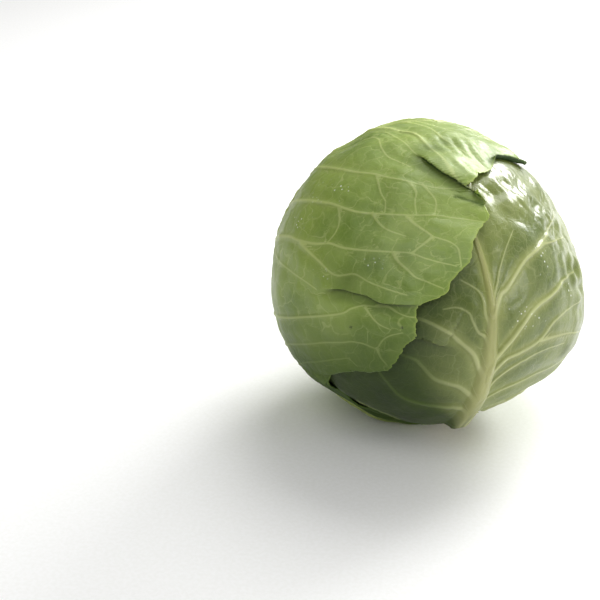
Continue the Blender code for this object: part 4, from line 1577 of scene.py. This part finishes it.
blistered = blisters(front, front.on_chart([(120.6, 47)])[0] + patch - patch.mean(), None, None)
print("the blisters rise and fall by", round(np.ptp(blistered) * 1000, 1), "mm")

# %% [markdown]
# ## The front leaf
#
# This is the glossy leaf on the right of the picture. Patches of dew lie on it, and one small dark spot
# low down. Each drop could be a dome of its own, but it is only about a millimetre wide, so that its
# shape would hardly show, and hundreds of domes would cost many faces.

# %% The front leaf
FRONT_DEW = [((78, 31), 0.007), ((73.8, 39.9), 0.005), ((80.6, 61.3), 0.006), ((94, 46), 0.006)]
FRONT_SPOTS = [((34, -3.1), 0.0009)]
front_veins = hand_veins(front, FRONT_VEINS) + row_veins(front, 12, 14, (1, -1))
finished_leaf(
    front, GRIDS["leaf_front"], front_veins, laid, 11, (pale_leaf, leaf_inside),
    pleats=FRONT_PLEATS, shape=blisters, shade=front_shade, spots=FRONT_SPOTS, dew=FRONT_DEW,
    net_depth=0.3,
)

# %% [markdown]
# ## The cover leaf
#
# The cover leaf swells over the top of the head, its torn margin stands off and throws a thin shadow,
# and the flap at its end is ridged and curls back. Its base and its flap cling to what they lie on. The
# forms are added as smooth humps, each a place, a size and a height, because they are easy to move one
# at a time. Sculpting would be more direct, but a lesson can't repeat a brush stroke.

# %% The cover leaf's forms
def cover_hug(rows, shares):
    """The cover leaf's base and its flap cling to the leaves below them."""
    base = smooth_step(0.35, 0.7, shares) * (1 - smooth_step(4.8, 6.2, rows))
    flap = 0.7 * smooth_step(0.80, 0.97, shares) * smooth_step(12.8, 13.4, rows)
    return base + flap


def cover_shape(leaf, points, rows, shares):
    """The cover leaf swells over the top, its torn margin stands off and its flap is ridged."""
    up, out = rows[:, None], shares[None, :]
    top = 0.0036 * hump(leaf, points, (167, 125), 0.024) + 0.0013 * hump(leaf, points, (171, -134), 0.015)
    margin = 0.0026 * smooth_step(0.80, 1.0, out) * smooth_step(5.4, 6.8, up)
    margin = margin * (1 - smooth_step(10.2, 11.2, up))
    corner = 0.0022 * smooth_step(0.93, 1.0, out) * smooth_step(11.0, 11.6, up)
    corner = corner * (1 - smooth_step(12.2, 12.7, up))
    hollow = 0.0018 * hump(leaf, points, (99, -28), 0.010) + 0.0014 * hump(leaf, points, (104, -18), 0.009)
    start, end = leaf.on_chart([(159, 8), (132, 19)])
    along = unit(end - start)
    across = (points - start) @ np.array([-along[1], along[0]])
    ridges = 0.00040 * np.sin(2 * math.pi * across / 0.0068 + 40 * (points - start) @ along)
    ridged = np.maximum(hump(leaf, points, (146, 38), 0.017), 0.9 * hump(leaf, points, (134, 22), 0.009))
    return top + margin + corner - hollow + ridges * ridged


swelling = cover_shape(cover, cover.on_chart([(167, 125)])[None], np.array([14.0]), np.array([0.5]))
print("the cover leaf swells by", round(swelling.item() * 1000, 1), "mm over the top")

# %% [markdown]
# ## The cover leaf's painted shade
#
# Shade is painted into the cover leaf's green: in its hollows, in the curl beside the pleat, on the
# flap's rolled end and on the parts that lie low down, away from the light. They are marked by place, as
# a painter would block in the darks before the details. The lamps alone could do it, but such wide soft
# ones throw no shade into a shallow hollow.

# %% The cover leaf's painted shade
# Hollows with painted shade: place, size in metres and how deep
COVER_SHADED_HOLLOWS = [
    ((98.5, -27), 0.009, 0.42), ((103, -18), 0.008, 0.34), ((104, -8), 0.006, 0.25),
    ((95, -22), 0.006, 0.35), ((147, 14), 0.008, 0.60), ((151, 27), 0.007, 0.50),
    ((124, -2), 0.022, 0.20), ((128, -14), 0.014, 0.14), ((100, -22), 0.016, 0.22),
]


def cover_shade(leaf, points, rows, shares):
    """Painted shade in the hollows, in the curl beside the pleat, low down and on the flap's rolled end.
    """
    course, _ = drawn_line(leaf, [(122.6, 15.5), (122, 17.1), (120.6, 19.1), (119, 21.5), (117.3, 23.6)])
    away, _ = nearest(points, course)
    # Painted shade in the curl beside the pleat, then in the listed hollows
    deep = 0.9 * np.exp(-((away / 0.0015) ** 2))
    for place, size, share in COVER_SHADED_HOLLOWS:
        deep = np.maximum(deep, share * hump(leaf, points, place, size))
    row, out = rows[:, None], shares[None, :]
    # Painted shade low down on the leaf, deepest at its base
    depth = 0.85 * (1 - smooth_step(6.0, 9.0, row)) + 0.5 * (1 - smooth_step(3.2, 4.4, row))
    low = smooth_step(0.2, 0.5, out) * depth
    # Painted shade on the flap's rolled end
    end = 0.8 * smooth_step(0.955, 0.985, out) * smooth_step(13.9, 14.3, row)
    end = end * (1 - smooth_step(15.6, 16.4, row))
    return np.maximum(np.maximum(deep, low), end)


print(len(COVER_SHADED_HOLLOWS), "hollows are marked on the cover leaf")

# %% [markdown]
# ## The cover leaf
#
# The outermost leaf is laid last. Its margin rolls back in two places, at the corner beside the pleat
# and at the end of the flap, and its hidden left side gets its side veins by rule. It could be one mesh
# with the leaves below it, but only a leaf of its own throws the thin shadow under its margin.

# %% The cover leaf
COVER_DEW = [
    ((130.8, -46.4), 0.006), ((131.6, -34.3), 0.006), ((120.9, -55.7), 0.007),
    ((103, -17.9), 0.004), ((149.8, 25.3), 0.004), ((101.2, -38.8), 0.005),
]
COVER_SPOTS = [((83.7, -28.3), 0.0011), ((82.7, -10.2), 0.0010)]
COVER_ROLLS = {1: [(12.1, 0.3, 1.6), (14.8, 0.8, 2.2)]}
cover_veins = hand_veins(cover, COVER_VEINS) + row_veins(cover, 4, 18, (-1,))
finished_leaf(
    cover, GRIDS["leaf_cover"], cover_veins, laid, 12, (green_leaf, leaf_inside),
    rib_size=0.65, pleats=COVER_PLEATS, rolls=COVER_ROLLS, shape=cover_shape, shade=cover_shade,
    spots=COVER_SPOTS, dew=COVER_DEW, swell=0.0005, hug=cover_hug,
)

# %% [markdown]
# ## The heart
#
# The heart is a ball of tightly packed leaves, and hardly any of it shows. Its solid has the right
# shape, so it stays and gets the finish of the pale leaves that it is packed from. Modelling more
# leaves inside would cost faces that nobody sees.

# %% The heart
HEART_CLOUD = 0.02
heart_finish, tree, surface, places = new_finish("packed heart leaves")
cloud = noise(tree, places, HEART_CLOUD, 4.0, 0.6)
tone = mix(tree, ramp(tree, cloud, 0.35, 0.7), colour(196, 204, 140), colour(214, 218, 164))
tree.links.new(tone, surface.inputs["Base Color"])
surface.inputs["Roughness"].default_value = 0.45


def dress(name, finish):
    """Gives a solid that stays in view its finish."""
    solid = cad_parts[name]
    solid.data.materials.clear()
    solid.data.materials.append(finish)
    return solid


heart = dress("heart", heart_finish)
print("the heart keeps its", len(heart.data.polygons), "faces")

# %% [markdown]
# ## The cut stem
#
# The stem is a cut core. Its side is pale green, with faint strands along it, and its face, where the
# knife went through, has dried to olive. Two finishes on two sets of faces could show that, but one
# finish that asks how far up the stem each place lies needs no faces to be picked, and gives the cut a
# soft edge.

# %% The cut stem
STRANDS, PITH, CUT_EDGE = 0.0018, 0.0022, 0.0015
ALONG_STEM = (1.0, 1.0, 0.15)
corners = np.array([vertex.co[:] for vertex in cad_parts["stem"].data.vertices]) @ AXIS
STEM_FACE = float(corners.min())
print("the stem is", round((corners.max() - STEM_FACE) * 1000), "mm long")
stem_finish, tree, surface, places = new_finish("cut stem")
along = node(tree, "ShaderNodeVectorMath", {0: places, 1: AXIS}, operation="DOT_PRODUCT").outputs["Value"]
cut = ramp(tree, along, STEM_FACE, STEM_FACE + CUT_EDGE, 1.0, 0.0)
stretched = node(tree, "ShaderNodeMapping", {"Vector": places, "Scale": ALONG_STEM}).outputs["Vector"]
strands = noise(tree, stretched, STRANDS, 3.0, 0.6)
side_tone = mix(tree, ramp(tree, strands, 0.35, 0.7), colour(142, 146, 92), colour(162, 164, 114))
pith = noise(tree, places, PITH, 4.0, 0.65)
face_tone = mix(tree, ramp(tree, pith, 0.35, 0.65), colour(128, 122, 74), colour(172, 164, 112))
tree.links.new(mix(tree, cut, side_tone, face_tone), surface.inputs["Base Color"])
dry = node(tree, "ShaderNodeBump", {"Height": pith, "Strength": 0.5, "Distance": 0.0008})
tree.links.new(dry.outputs["Normal"], surface.inputs["Normal"])
surface.inputs["Roughness"].default_value = 0.6
dress("stem", stem_finish)

# %% [markdown]
# ## The dressed head's size
#
# The box of the imported solids and the box of the dressed head are both kept, and the dressed head's
# size is printed, as the solids' was at the start.

# %% The dressed head's size
size = {"cad": cad_box, "visual": [list(corner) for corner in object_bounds()]}
spans = [round((high - low) * 1000, 1) for low, high in zip(*size["visual"])]
print("the dressed head measures", spans, "mm")
